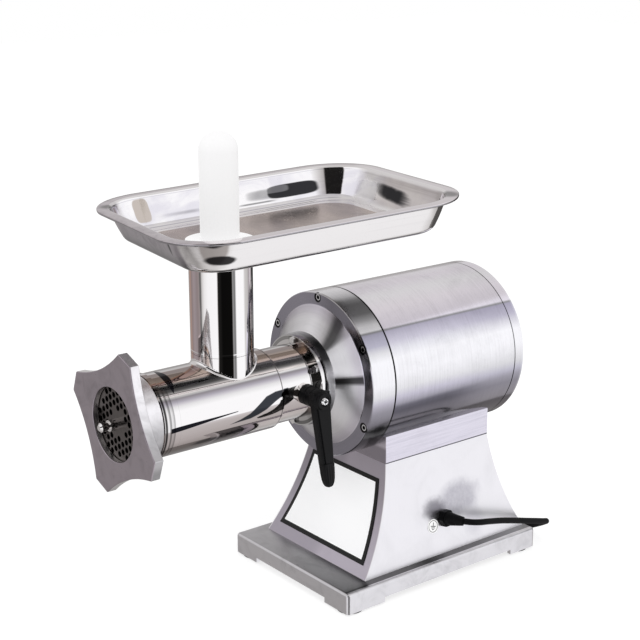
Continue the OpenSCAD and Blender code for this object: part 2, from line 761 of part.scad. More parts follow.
module rotor_core() color("slategray") on_axis() {
    tube(stator_bore_r - air_gap, rotor_shaft_r, stator_f, stator_f + stator_l);
    for (f = [stator_f - 6, stator_f + stator_l]) tube(stator_bore_r - air_gap - 5, stator_bore_r - 20, f, f + 6);
}

// Involute of the base circle r at unroll angle t in degrees
function involute(r, t) = [r * (cos(t) + t * PI / 180 * sin(t)), r * (sin(t) - t * PI / 180 * cos(t))];
function turned(p, a) = [p[0] * cos(a) - p[1] * sin(a), p[0] * sin(a) + p[1] * cos(a)];
function unroll(r, at) = sqrt(max(at * at / (r * r) - 1, 0)) * 180 / PI;
function flank_a(z) = 90 / z - gear_backlash / (gear_m * z) * 180 / PI + tan(pressure_a) * 180 / PI - pressure_a;
function tooth_flank(z, steps) =
    let (pitch = gear_m * z / 2, rb = pitch * cos(pressure_a), tip = pitch + gear_m,
         low = max(rb, pitch - 1.1 * gear_m), t0 = unroll(rb, low), t1 = unroll(rb, tip))
    [for (i = [0 : steps]) turned(involute(rb, t0 + (t1 - t0) * i / steps), -flank_a(z))];
function gear_outline(z) =
    let (root = gear_m * z / 2 - 1.25 * gear_m, flank = tooth_flank(z, 5),
         gap_a = atan2(flank[0][1], flank[0][0]))
    [for (k = [0 : z - 1]) each [for (p = concat([turned([root, 0], gap_a - 1)], flank,
        [for (i = [5 : -1 : 0]) [flank[i][0], -flank[i][1]]], [turned([root, 0], 1 - gap_a)])) turned(p, 360 * k / z)]];

module gear(z, a, b, turn) translate([0, 0, a]) rotate(turn) linear_extrude(b - a) polygon(gear_outline(z));

// A tooth points along local X at turn 0, so the mate needs a gap there
mesh_turn = 180 + 180 / wheel_z;

module rotor_shaft() color("gray") on_axis() {
    rod(rotor_journal_r, rear_bearing_f + 1, cap_boss_f + 1);
    rod(rotor_shaft_r, cap_boss_f + 0.5, seam_f - rotor_bearing_w - 0.5);
    rod(rotor_journal_r, seam_f - rotor_bearing_w - 1, gear1_f);
    gear(pinion_z, gear1_f, gear1_f + wheel_w, counter_turn);
}

module cooling_fan() color("white") on_axis() difference() {
    union() {
        rod(fan_hub_r, fan_f, fan_f + fan_w);
        rod(fan_r, fan_f + fan_w - fan_sheet, fan_f + fan_w);
        ring_of(9, fan_hub_r - fan_sheet, 0) translate([0, -fan_sheet / 2, fan_f])
            cube([fan_r - fan_hub_r, fan_sheet, fan_w - fan_sheet / 2]);
    }
    rod(rotor_shaft_r + run_gap, fan_f - 1, fan_f + fan_w + 1);
}

module rotor_bearings() color("lightsteelblue") on_axis() {
    tube(rotor_bearing_r, rotor_journal_r + run_gap, seam_f - rotor_bearing_w, seam_f);
    tube(rotor_bearing_r, rotor_journal_r + run_gap, rear_bearing_f, cap_boss_f);
}

module countershaft() color("gray") on_countershaft() {
    rod(small_journal_r, seam_f - small_bearing_w + 0.5, seam_f + 1);
    rod(7, seam_f + 0.3, gearbox_f - 0.3);
    rod(small_journal_r, gearbox_f - 1, gearbox_f + small_bearing_w - 0.5);
    gear(pinion_z, gear2_f - 0.5, gear2_f + wheel_w + 0.5, 180);
}

module countershaft_gear() color("goldenrod") on_countershaft() difference() {
    gear(wheel_z, gear1_f, gear1_f + wheel_w - 0.5, mesh_turn);
    rod(7 + run_gap, gear1_f - 1, gear1_f + wheel_w + 1);
}

module countershaft_bearings() color("lightsteelblue") on_countershaft() {
    tube(small_bearing_r, small_journal_r + run_gap, seam_f - small_bearing_w, seam_f);
    tube(small_bearing_r, small_journal_r + run_gap, gearbox_f, gearbox_f + small_bearing_w);
}

module output_gear() color("goldenrod") on_axis() difference() {
    gear(wheel_z, gear2_f, gear2_f + wheel_w, counter_turn + 180 / wheel_z);
    rod(out_r + run_gap, gear2_f - 1, gear2_f + wheel_w + 1);
}

module output_shaft() color("gray") on_axis() difference() {
    union() {
        rod(out_r, gear2_f, flange_front_f + 1);
        rod(coupling_r, flange_front_f + 0.5, coupling_end_f);
    }
    box(tang_w + 2 * face_gap, tang_w + 2 * face_gap, tang_back_f - 0.5, coupling_end_f + 1);
}

module output_bearings() color("lightsteelblue") on_axis() {
    tube(out_bearing_r - run_gap, out_r + run_gap, gearbox_f, gearbox_f + out_bearing_w);
    tube(out_bearing_r - run_gap, out_r + run_gap, nose_f - out_bearing_w, nose_f);
}

module oil_seal() color("black") on_axis() tube(seal_r - run_gap, out_r + run_gap, nose_f, nose_f + hub_t - 2);

// ---- Head socket ----
module hub_ring() color("darkgray") on_axis() difference() {
    rotate_extrude() polygon([[out_r + 2, nose_f + hub_t - 2], [seal_r, nose_f + hub_t - 2], [seal_r, nose_f],
        [hub_r, nose_f], [hub_r, flange_f - 1], [hub_r - 1, flange_f], [out_r + 2, flange_f]]);
    ring_of(bolt_n, bolt_ring_r, 90) rod(bolt_d / 2 + run_gap, nose_f - 1, flange_f + 1);
}

boss_r = lever_hub_r;
boss_x = socket_r + 4;

module at_lever() translate([0, -lever_at_f, axis_z]) rotate([0, 90, 0]) children();

module head_socket() color("gainsboro") difference() {
    union() {
        on_axis() rod(flange_r, flange_f, flange_front_f);
        on_axis() rod(socket_r, flange_f, mouth_f);
        at_lever() rod(boss_r, 0, boss_x);
    }
    on_axis() rod(socket_in, flange_front_f, mouth_f + 1);
    on_axis() rod(coupling_r + 1, flange_f - 1, mouth_f);
    on_axis() ring_of(bolt_n, bolt_ring_r, 90) rod(bolt_d / 2 + run_gap, flange_f - 1, flange_front_f + 1);
    at_lever() rod(lever_stud_r + run_gap, socket_in - 2, boss_x + 1);
}

module socket_bolts() color("lightgray") on_axis() ring_of(bolt_n, bolt_ring_r, 90) {
    rod(bolt_d / 2, nose_f - 7, flange_front_f + 0.1);
    hex_prism(bolt_af, flange_front_f, flange_front_f + 3.4);
}

hub_end_x = boss_x + face_gap + lever_hub_l;
arm_w = 17;
arm_t = 9;
grip_l = 26;

module lever_stud() color("gray") at_lever()
    rod(lever_stud_r, spigot_r + face_gap, boss_x + face_gap + lever_hub_l / 2);

module clamp_lever() color("black") difference() {
    union() {
        at_lever() rod(lever_hub_r, boss_x + face_gap, hub_end_x - 4);
        at_lever() translate([0, 0, hub_end_x - 4]) cylinder(r1 = lever_hub_r, r2 = lever_hub_r - 3, h = 4);
        translate([hub_end_x - 8, -lever_at_f, axis_z]) rotate([0, -lever_lean, 0]) {
            hull() {
                translate([0, 0, -4]) cube([arm_t, arm_w + 3, 8], center = true);
                translate([0, 0, grip_l - lever_l]) cube([arm_t, arm_w - 3, 2], center = true);
            }
            hull() {
                translate([0, 0, grip_l - lever_l]) cube([arm_t + 2, arm_w - 1, 2], center = true);
                translate([0, 0, 3 - lever_l]) rotate([0, 90, 0]) cylinder(r = 6, h = arm_t, center = true, $fn = 32);
            }
        }
    }
    at_lever() rod(lever_stud_r + run_gap, boss_x - 1, boss_x + face_gap + lever_hub_l / 2 + 0.5);
    at_lever() rod(2 + run_gap, boss_x, hub_end_x + 1);
    at_lever() rod(5.4, hub_end_x - 1.5, hub_end_x + 1);
}

module lever_screw() color("silver") difference() {
    at_lever() {
        rod(2, boss_x + face_gap + lever_hub_l / 2 + 1, hub_end_x - 1.4);
        translate([0, 0, hub_end_x - 1.5]) cylinder(r1 = 5, r2 = 3.2, h = 2.8);
    }
    at_lever() for (a = [0, 90]) rotate(a) box(6, 1.1, hub_end_x, hub_end_x + 2);
}

// ---- Grinding head ----
module barrel() color("gainsboro") difference() {
    union() {
        on_axis() rod(spigot_r, spigot_f, mouth_f + 1);
        on_axis() rod(barrel_r, mouth_f + face_gap / 3, sleeve_back_f - 1);
        on_axis() rod(thread_r, sleeve_back_f - 2, barrel_end_f);
        on_axis() rod(bead_r, sleeve_back_f - 1.5 - bead_w, sleeve_back_f - 1.5);
        translate([0, feed_y, 0]) rod(feed_r, axis_z, stub_z);
    }
    on_axis() rod(spigot_in, spigot_f - 1, mouth_f + 4);
    on_axis() rod(barrel_in, mouth_f + 4, disc_back_f);
    on_axis() rod(seat_r, disc_back_f, barrel_end_f + 1);
    translate([0, feed_y, 0]) rod(feed_in, axis_z, stub_z + 1);
    key_pin(run_gap);
}

key_r = 2;

module key_pin(gap) on_axis() rotate(90) translate([disc_r, 0, 0]) rod(key_r + gap, disc_back_f + 0.5 - gap, disc_front_f - face_gap + gap);

module plate_key() color("gray") key_pin(0);

module grinding_plate() color("darkgray") difference() {
    on_axis() rod(disc_r, disc_back_f, disc_front_f);
    on_axis() rod(stud_r + run_gap, disc_back_f - 1, disc_front_f + 1);
    key_pin(run_gap);
    rows = ceil(disc_r / hole_pitch) + 1;
    on_axis() for (i = [-rows : rows], j = [-rows : rows]) {
        at = [(i + j / 2) * hole_pitch, j * hole_pitch * sin(60)];
        if (norm(at) - hole_d / 2 > disc_hub_r && norm(at) + hole_d / 2 < mouth_r)
            rotate(30) translate([at[0], at[1], 0]) rod(hole_d / 2, disc_back_f - 1, disc_front_f + 1);
    }
}

auger_back_f = mouth_f - 14;
flight_back_f = mouth_f + 6;
flight_l = auger_front_f - flight_back_f;
flight_a = 34;
knife_square = 2 * stud_r * cos(45) + 4;

module auger() color("lightgray") on_axis() {
    box(tang_w, tang_w, tang_back_f, coupling_end_f + 1);
    rod(core_r, coupling_end_f + face_gap, flight_back_f);
    rod(spigot_in - face_gap, auger_back_f, mouth_f + 3.5);
    rod(core_r, flight_back_f - 1, auger_front_f);
    translate([0, 0, flight_back_f]) linear_extrude(flight_l, twist = -360 * flight_l / auger_pitch, slices = 80, $fn = 24)
        polygon(concat([[0, 0]], [for (i = [0 : 4]) flight_r * [cos(flight_a * (i / 4 - 0.5)), sin(flight_a * (i / 4 - 0.5))]]));
    box(knife_square, knife_square, auger_front_f - 1, knife_front_f - 1);
    rod(stud_r, knife_front_f - 2, ring_front_f + stud_out - 11);
    rod(stud_r - 2, ring_front_f + stud_out - 12, ring_front_f + stud_out - 6);
    rod(stud_r - 1, ring_front_f + stud_out - 7, ring_front_f + stud_out - 2);
    translate([0, 0, ring_front_f + stud_out - 2]) cylinder(r1 = stud_r - 1, r2 = stud_r - 3, h = 2);
}

module knife() color("gray") on_axis() difference() {
    union() {
        rod(knife_hub_r, auger_front_f, knife_front_f);
        for (a = [0, 90, 180, 270]) rotate(a) translate([0, 0, auger_front_f]) linear_extrude(knife_t)
            polygon([[0, -5], [knife_r * 0.6, -6], [knife_r - 0.8, -8], [knife_r, -2], [knife_r * 0.6, 3], [0, 6]]);
    }
    box(knife_square + 2 * run_gap, knife_square + 2 * run_gap, auger_front_f - 1, knife_front_f - 0.9);
    rod(stud_r + run_gap, auger_front_f, knife_front_f + 1);
}

star_half = star_r * cos(star_corner_a);

module ring_nut() color("darkgray") on_axis() difference() {
    union() {
        difference() {
            rotate(star_turn) box(2 * star_half, 2 * star_half, star_back_f, ring_front_f);
            ring_of(4, star_cut_c, star_turn + 45) translate([0, 0, star_back_f - 1])
                cylinder(r = star_cut_r, h = star_t + 2, $fn = 180);
        }
        rod(sleeve_r, sleeve_back_f, star_back_f + 1);
    }
    rod(mouth_r, sleeve_back_f, ring_front_f + 1);
    rod(sleeve_in, sleeve_back_f - 1, lip_back_f);
}

// ---- Tray and pusher ----
module on_tube() translate([0, feed_y, floor_z]) rotate([tray_tilt, 0, tray_turn]) children();

module tray_tube() color("gainsboro") {
    difference() {
        translate([0, feed_y, 0]) tube(feed_r, feed_in, stub_z + face_gap, floor_z + tube_rise + 1);
        on_tube() box(3 * feed_r, 3 * feed_r, 0, feed_r);
    }
    translate([0, feed_y, 0]) tube_spigot_form();
}

module tube_spigot_form() {
    tube(tube_sleeve_r, tube_sleeve_in, stub_z - tube_spigot, stub_z + tube_spigot);
    tube(feed_in + 0.5, tube_sleeve_in, stub_z + face_gap, stub_z + tube_spigot);
}

// The pan's outline at each height: up the bend from the floor, then along the slanted wall
function pan_level(a) = [bend_start - tray_bend * sin(a), tray_bend * (1 - cos(a))];

module pan_form(inset, lift, top) hull() {
    for (i = [0 : bend_steps]) {
        level = pan_level(tray_slope * i / bend_steps);
        pan_outline(level[0] + inset, level[1] + lift);
    }
    pan_outline(inset - (top - tray_d) / tan(tray_slope), top);
}

module pan_outline(inset, z)
    rounded_slab(pan_w - 2 * inset, pan_l - 2 * inset, pan_corner - inset, z - 0.02, z, $fn = 32);

module tray_sheet() translate([0, tray_back, 0]) difference() {
    union() {
        pan_form(0, 0, tray_d - tray_t / 2);
        rounded_slab(tray_w, tray_l, tray_corner, tray_d - tray_t, tray_d);
        difference() {
            rounded_slab(tray_w, tray_l, tray_corner, tray_d - tray_hem, tray_d);
            rounded_slab(tray_w - 2 * tray_t, tray_l - 2 * tray_t, tray_corner - tray_t, 0, tray_d + 1);
        }
    }
    pan_form(tray_t, tray_t, tray_d + 1);
}

module tray() color("gainsboro") difference() {
    on_tube() tray_sheet();
    translate([0, feed_y, floor_z]) rod(feed_in, -tray_d, tray_d);
}

module pusher() color("white") translate([0, feed_y, push_z]) {
    rod(plunger_r, -plunger_l, 0.1);
    rod(push_flange_r, 0, push_flange_t);
    rod(push_r, 0, push_h - push_r);
    translate([0, 0, push_h - push_r]) sphere(r = push_r);
}

base_plate();
bottom_cover();
cover_screws();
rubber_feet();
pedestal();
neck_saddle();
front_label_plate();
earth_mark();
capacitor();
capacitor_clip();
terminal_block();
switch_frame();
on_button();
off_button();
cord_gland();
mains_cord();
cord_coil();
cord_tie();
mains_plug();
plug_pins();
motor_housing();
front_gasket();
front_cover();
front_cover_screws();
rear_gasket();
rear_cap();
rear_cap_screws();
stator_core();
stator_windings();
gear_plate();
rotor_core();
rotor_shaft();
cooling_fan();
rotor_bearings();
countershaft();
countershaft_gear();
countershaft_bearings();
output_shaft();
output_gear();
output_bearings();
oil_seal();
hub_ring();
head_socket();
socket_bolts();
clamp_lever();
lever_stud();
lever_screw();
barrel();
auger();
knife();
grinding_plate();
plate_key();
ring_nut();
tray_tube();
tray();
pusher();
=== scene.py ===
# %% [markdown]
# # Dressing a bench-top meat grinder
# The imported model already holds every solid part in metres, standing on the table at z = 0, with the outlet
# towards -Y and the cord side towards +X. This lesson loads it, sets up a small studio, gives each part a
# finish worked out from node maths, and replaces a few plain solids with finer surfaces.

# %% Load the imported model
import math
import bmesh
import bpy
import numpy as np
from mathutils import Matrix, Vector


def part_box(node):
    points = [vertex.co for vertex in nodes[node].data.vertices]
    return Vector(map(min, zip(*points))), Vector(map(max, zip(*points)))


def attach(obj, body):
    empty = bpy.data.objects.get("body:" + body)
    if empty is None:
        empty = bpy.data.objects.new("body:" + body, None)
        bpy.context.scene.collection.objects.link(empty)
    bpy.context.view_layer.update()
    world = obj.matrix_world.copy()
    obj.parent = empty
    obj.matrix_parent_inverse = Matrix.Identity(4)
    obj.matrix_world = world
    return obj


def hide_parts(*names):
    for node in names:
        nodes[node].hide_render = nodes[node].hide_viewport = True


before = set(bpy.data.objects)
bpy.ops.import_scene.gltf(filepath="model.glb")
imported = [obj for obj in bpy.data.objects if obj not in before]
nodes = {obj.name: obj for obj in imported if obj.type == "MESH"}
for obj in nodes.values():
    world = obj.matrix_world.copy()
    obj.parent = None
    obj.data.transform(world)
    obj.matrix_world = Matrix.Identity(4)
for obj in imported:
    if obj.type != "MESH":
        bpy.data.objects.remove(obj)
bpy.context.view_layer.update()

# %% [markdown]
# ## The camera
# The machine is seen from its front right corner, a little from above, with a long lens, which keeps its
# upright edges nearly parallel. A camera is an object whose -Z axis looks forward, so a look-at matrix gives
# its turn: the forward direction, the level right direction and their cross product are its three axes.

# %% Place the camera
CAMERA_AT = Vector((1.18065, -1.02553, 0.73054))
CAMERA_TO = Vector((-0.04133, -0.06469, 0.28239))
LENS_MM = 81.9
ROLL_DEG = -0.1


def look_at(origin, target, roll_deg=0.0):
    """The matrix of a camera or lamp at origin whose -Z axis points at target, rolled about that axis."""
    turn = (Vector(target) - Vector(origin)).to_track_quat("-Z", "Y").to_matrix().to_4x4()
    return Matrix.Translation(origin) @ turn @ Matrix.Rotation(math.radians(roll_deg), 4, "Z")


scene = bpy.context.scene
camera_data = bpy.data.cameras.new("camera")
camera_data.lens = LENS_MM
camera_data.sensor_width = 36.0
camera_data.clip_start = 0.01
camera = bpy.data.objects.new("camera", camera_data)
scene.collection.objects.link(camera)
camera.matrix_world = look_at(CAMERA_AT, CAMERA_TO, ROLL_DEG)
scene.camera = camera
print("camera", round((CAMERA_AT - CAMERA_TO).length, 3), "m from its target")

# %% [markdown]
# ## Surfaces from arrays
# Every new piece is a grid of points computed at once with numpy. A grid of m by n points becomes a mesh of
# quads; either direction can close on itself, which joins its last row to its first. Points and faces go
# into the mesh in one call each, which is far quicker than adding them one by one.


# %% Helpers that turn arrays into meshes
def mesh_from(name, points, faces, smooth=True):
    """A mesh object whose vertices are the rows of points and whose faces are lists of row numbers."""
    mesh = bpy.data.meshes.new(name)
    mesh.from_pydata(np.asarray(points, dtype=float).tolist(), [], [[int(k) for k in face] for face in faces])
    mesh.polygons.foreach_set("use_smooth", np.full(len(mesh.polygons), smooth))
    mesh.update()
    piece = bpy.data.objects.new(name, mesh)
    scene.collection.objects.link(piece)
    return piece


def grid_quads(rows, columns, close_rows=False, close_columns=False, start=0):
    """The quads that join a rows by columns grid of points numbered row by row from start."""
    i = np.arange(rows if close_rows else rows - 1)
    j = np.arange(columns if close_columns else columns - 1)
    i, j = np.meshgrid(i, j, indexing="ij")
    down, right = (i + 1) % rows, (j + 1) % columns
    quads = np.stack([i * columns + j, i * columns + right, down * columns + right, down * columns + j], -1)
    return quads.reshape(-1, 4) + start


def finish_mesh(piece, merge=1e-6, flat_angle=40.0):
    """Merges doubled points, turns the faces outwards and keeps edges sharper than flat_angle crisp."""
    data = bmesh.new()
    data.from_mesh(piece.data)
    bmesh.ops.remove_doubles(data, verts=data.verts, dist=merge)
    bmesh.ops.recalc_face_normals(data, faces=data.faces)
    for edge in data.edges:
        if len(edge.link_faces) == 2 and edge.calc_face_angle(0.0) > math.radians(flat_angle):
            edge.smooth = False
    data.to_mesh(piece.data)
    data.free()
    return piece


print("mesh helpers ready")

# %% [markdown]
# ## Curves and tubes
# A cord is a curve with a ring of points carried along it. Blender's own curve objects could do this, but a
# curve worked out here can be measured. The curve passes through every given point, and the ring is carried
# without twisting, so the tube has no pinches.


# %% Curves through points, and tubes along curves
def smooth_through(points, spacing):
    """Catmull-Rom curve through the points, resampled so that its points lie about spacing apart."""
    p = np.asarray(points, float)
    p = np.vstack([2 * p[0] - p[1], p, 2 * p[-1] - p[-2]])
    t = np.linspace(0, 1, 24, endpoint=False)[:, None, None]
    a, b, c, d = (p[None, k:len(p) - 3 + k] for k in range(4))
    curve = 0.5 * (2 * b + (c - a) * t + (2 * a - 5 * b + 4 * c - d) * t**2 + (3 * b - a - 3 * c + d) * t**3)
    curve = np.vstack([curve.transpose(1, 0, 2).reshape(-1, 3), p[-2]])
    run = np.concatenate([[0], np.cumsum(np.linalg.norm(np.diff(curve, axis=0), axis=1))])
    at = np.linspace(0, run[-1], max(int(run[-1] / spacing), 2) + 1)
    return np.stack([np.interp(at, run, curve[:, k]) for k in range(3)], -1)


def frames_along(path):
    """Unit tangents of a path and two unit vectors square to each, carried along without twisting."""
    tangent = np.gradient(path, axis=0)
    tangent /= np.linalg.norm(tangent, axis=1)[:, None]
    side = np.zeros_like(path)
    side[0] = np.cross([0, 0, 1], tangent[0])
    for k in range(1, len(path)):
        side[k] = side[k - 1] - tangent[k] * (side[k - 1] @ tangent[k])
        side[k] /= np.linalg.norm(side[k])
    side[0] /= np.linalg.norm(side[0])
    return tangent, side, np.cross(tangent, side)


def tube_along(name, path, radius, sides=16):
    """Closed tube: centre + radius * (cos u * side + sin u * other side), with a centre point at each end."""
    tangent, side, other = frames_along(path)
    u = np.linspace(0, 2 * np.pi, sides, endpoint=False)
    radius = np.broadcast_to(radius, len(path))[:, None, None]
    ring = np.cos(u)[:, None] * side[:, None] + np.sin(u)[:, None] * other[:, None]
    rings = path[:, None] + radius * ring
    rings = np.concatenate([np.repeat(path[None, :1], sides, 1), rings, np.repeat(path[None, -1:], sides, 1)])
    piece = mesh_from(name, rings.reshape(-1, 3), grid_quads(len(path) + 2, sides, close_columns=True))
    return finish_mesh(piece, merge=1e-5)


print("curve helpers ready")

# %% [markdown]
# ## The mains cord
# The cord is one length of round rubber lead: it leaves the boot, bends towards the rear, sags to the table
# behind the base and ends in a tied coil with the plug beside it. A real cord lies where it falls, so its
# route is a list of points given one by one. The coil is worked out by formula instead, so that its turns
# never cut each other.

# %% The cord's route and its coil
CORD_D = 0.007
boot_tip = (0.1065, 0.0214, 0.0676)
cord_route = np.array([
    boot_tip, (0.110, 0.0244, 0.0674), (0.1144, 0.030, 0.0668), (0.1172, 0.0368, 0.066),
    (0.1182, 0.044, 0.065), (0.1184, 0.056, 0.0626), (0.1185, 0.070, 0.0594), (0.1185, 0.084, 0.0556),
    (0.1185, 0.098, 0.0516), (0.1183, 0.112, 0.0474), (0.118, 0.127, 0.043), (0.1162, 0.140, 0.0386),
    (0.1108, 0.151, 0.0338), (0.102, 0.159, 0.028), (0.0915, 0.164, 0.0214), (0.0795, 0.1655, 0.0146),
    (0.068, 0.1645, 0.009), (0.056, 0.162, 0.0056), (0.043, 0.1586, 0.004), (0.028, 0.1548, 0.0036),
    (0.010, 0.1514, 0.0036), (-0.008, 0.149, 0.0036), (-0.026, 0.148, 0.0036), (-0.044, 0.1476, 0.0036),
    (-0.064, 0.1475, 0.0036)])
coil_centre = np.array([-0.080, 0.1925])
coil_low, coil_high = 0.0036, 0.0107
coil_rows = np.array([0.031, 0.038, 0.045])


def ease(x):
    """0 below 0, 1 above 1, and the smooth step 3x^2 - 2x^3 between."""
    x = np.clip(x, 0, 1)
    return x * x * (3 - 2 * x)


def coil_path(turns=5, per_turn=48):
    """Clockwise turns from the near side: three inwards on the table, then outwards on top of them.
    Radius and height change by eased steps near the end of a turn, one after another, so turns never meet."""
    t = np.arange(1, turns * per_turn + 1) / per_turn
    inward = sum(ease((t - k - 5 / 6) * 6) for k in (0, 1))
    outward = sum(ease((t - k - 1 / 2) * 6) for k in (3, 4))
    climb = ease((t - 2 - 2 / 3) * 6)
    radius = coil_rows[2] - (inward - outward) * (coil_rows[1] - coil_rows[0])
    angle = -np.pi / 2 - 2 * np.pi * t
    height = coil_low + (coil_high - coil_low) * climb
    x, y = coil_centre[0] + radius * np.cos(angle), coil_centre[1] + radius * np.sin(angle)
    return np.stack([x, y, height], -1)


print("coil has", len(coil_path()), "points")

# %% Lay the cord
cord_tail = np.array([coil_centre[0] - 0.013, coil_centre[1] - coil_rows[2], coil_high])
coil_start = [coil_centre[0], cord_tail[1], coil_low]
cord_line = np.vstack([smooth_through(cord_route, 0.004), coil_start, coil_path(), cord_tail])

mains_cord = tube_along("mains_lead", cord_line, CORD_D / 2, 14)
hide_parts("mains_cord", "cord_coil")
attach(mains_cord, "machine")
print("cord piece has", len(mains_cord.data.polygons), "faces")

# %% [markdown]
# ## A small language for materials
# A material is a graph of nodes, and drawing one by hand for every part would be slow and hard to read.
# Here a small class wraps one output of a node, and sums and products of such values add the nodes. A
# second class holds the material itself and adds every other kind of node by one method.


# %% Values that run through a material
class Flow:
    """A value that runs through a material. + - * ** between flows and numbers add Math nodes."""

    def __init__(self, tree, socket):
        self.tree, self.socket = tree, socket

    def math(self, operation, a, b=0.0):
        """One Math node on two flows or numbers."""
        node = self.tree.nodes.new("ShaderNodeMath")
        node.operation = operation
        for slot, value in zip(node.inputs, (a, b)):
            if isinstance(value, Flow):
                self.tree.links.new(value.socket, slot)
            else:
                slot.default_value = value
        return Flow(self.tree, node.outputs[0])

    def __add__(self, other): return self.math("ADD", self, other)
    def __radd__(self, other): return self.math("ADD", other, self)
    def __sub__(self, other): return self.math("SUBTRACT", self, other)
    def __rsub__(self, other): return self.math("SUBTRACT", other, self)
    def __mul__(self, other): return self.math("MULTIPLY", self, other)
    def __rmul__(self, other): return self.math("MULTIPLY", other, self)
    def __pow__(self, other): return self.math("POWER", self, other)
    def __neg__(self): return self.math("MULTIPLY", self, -1.0)
    def abs(self): return self.math("ABSOLUTE", self)
    def sqrt(self): return self.math("SQRT", self)
    def turn_with(self, other): return self.math("ARCTAN2", self, other)
    def larger(self, other): return self.math("MAXIMUM", self, other)

    def step(self, low, high):
        """0 at low, 1 at high, eased between; low may be the larger of the two."""
        node = self.tree.nodes.new("ShaderNodeMapRange")
        node.interpolation_type = "SMOOTHSTEP"
        self.tree.links.new(self.socket, node.inputs["Value"])
        values = (high, low, 1, 0) if low > high else (low, high, 0, 1)
        for name, value in zip(("From Min", "From Max", "To Min", "To Max"), values):
            node.inputs[name].default_value = value
        return Flow(self.tree, node.outputs["Result"])

    def band(self, low, high, soft):
        """1 between low and high, easing to 0 over soft on both sides."""
        return self.step(low - soft, low + soft) * self.step(high + soft, high - soft)


def tone_of(value):
    """A grey level, or red, green and blue, as a full colour."""
    if isinstance(value, (int, float)):
        return (value, value, value, 1.0)
    return tuple(value) + (1.0,) * (4 - len(value))


print("a grey of a half is", tone_of(0.5))

# %% [markdown]
# ### A material and its nodes
# Blender's own way is one call for each node and one for each link. The class below keeps the tree, and its
# methods are what a maker would ask for: a place on the part, a noise, a mix, a ramp of tones or a blot.


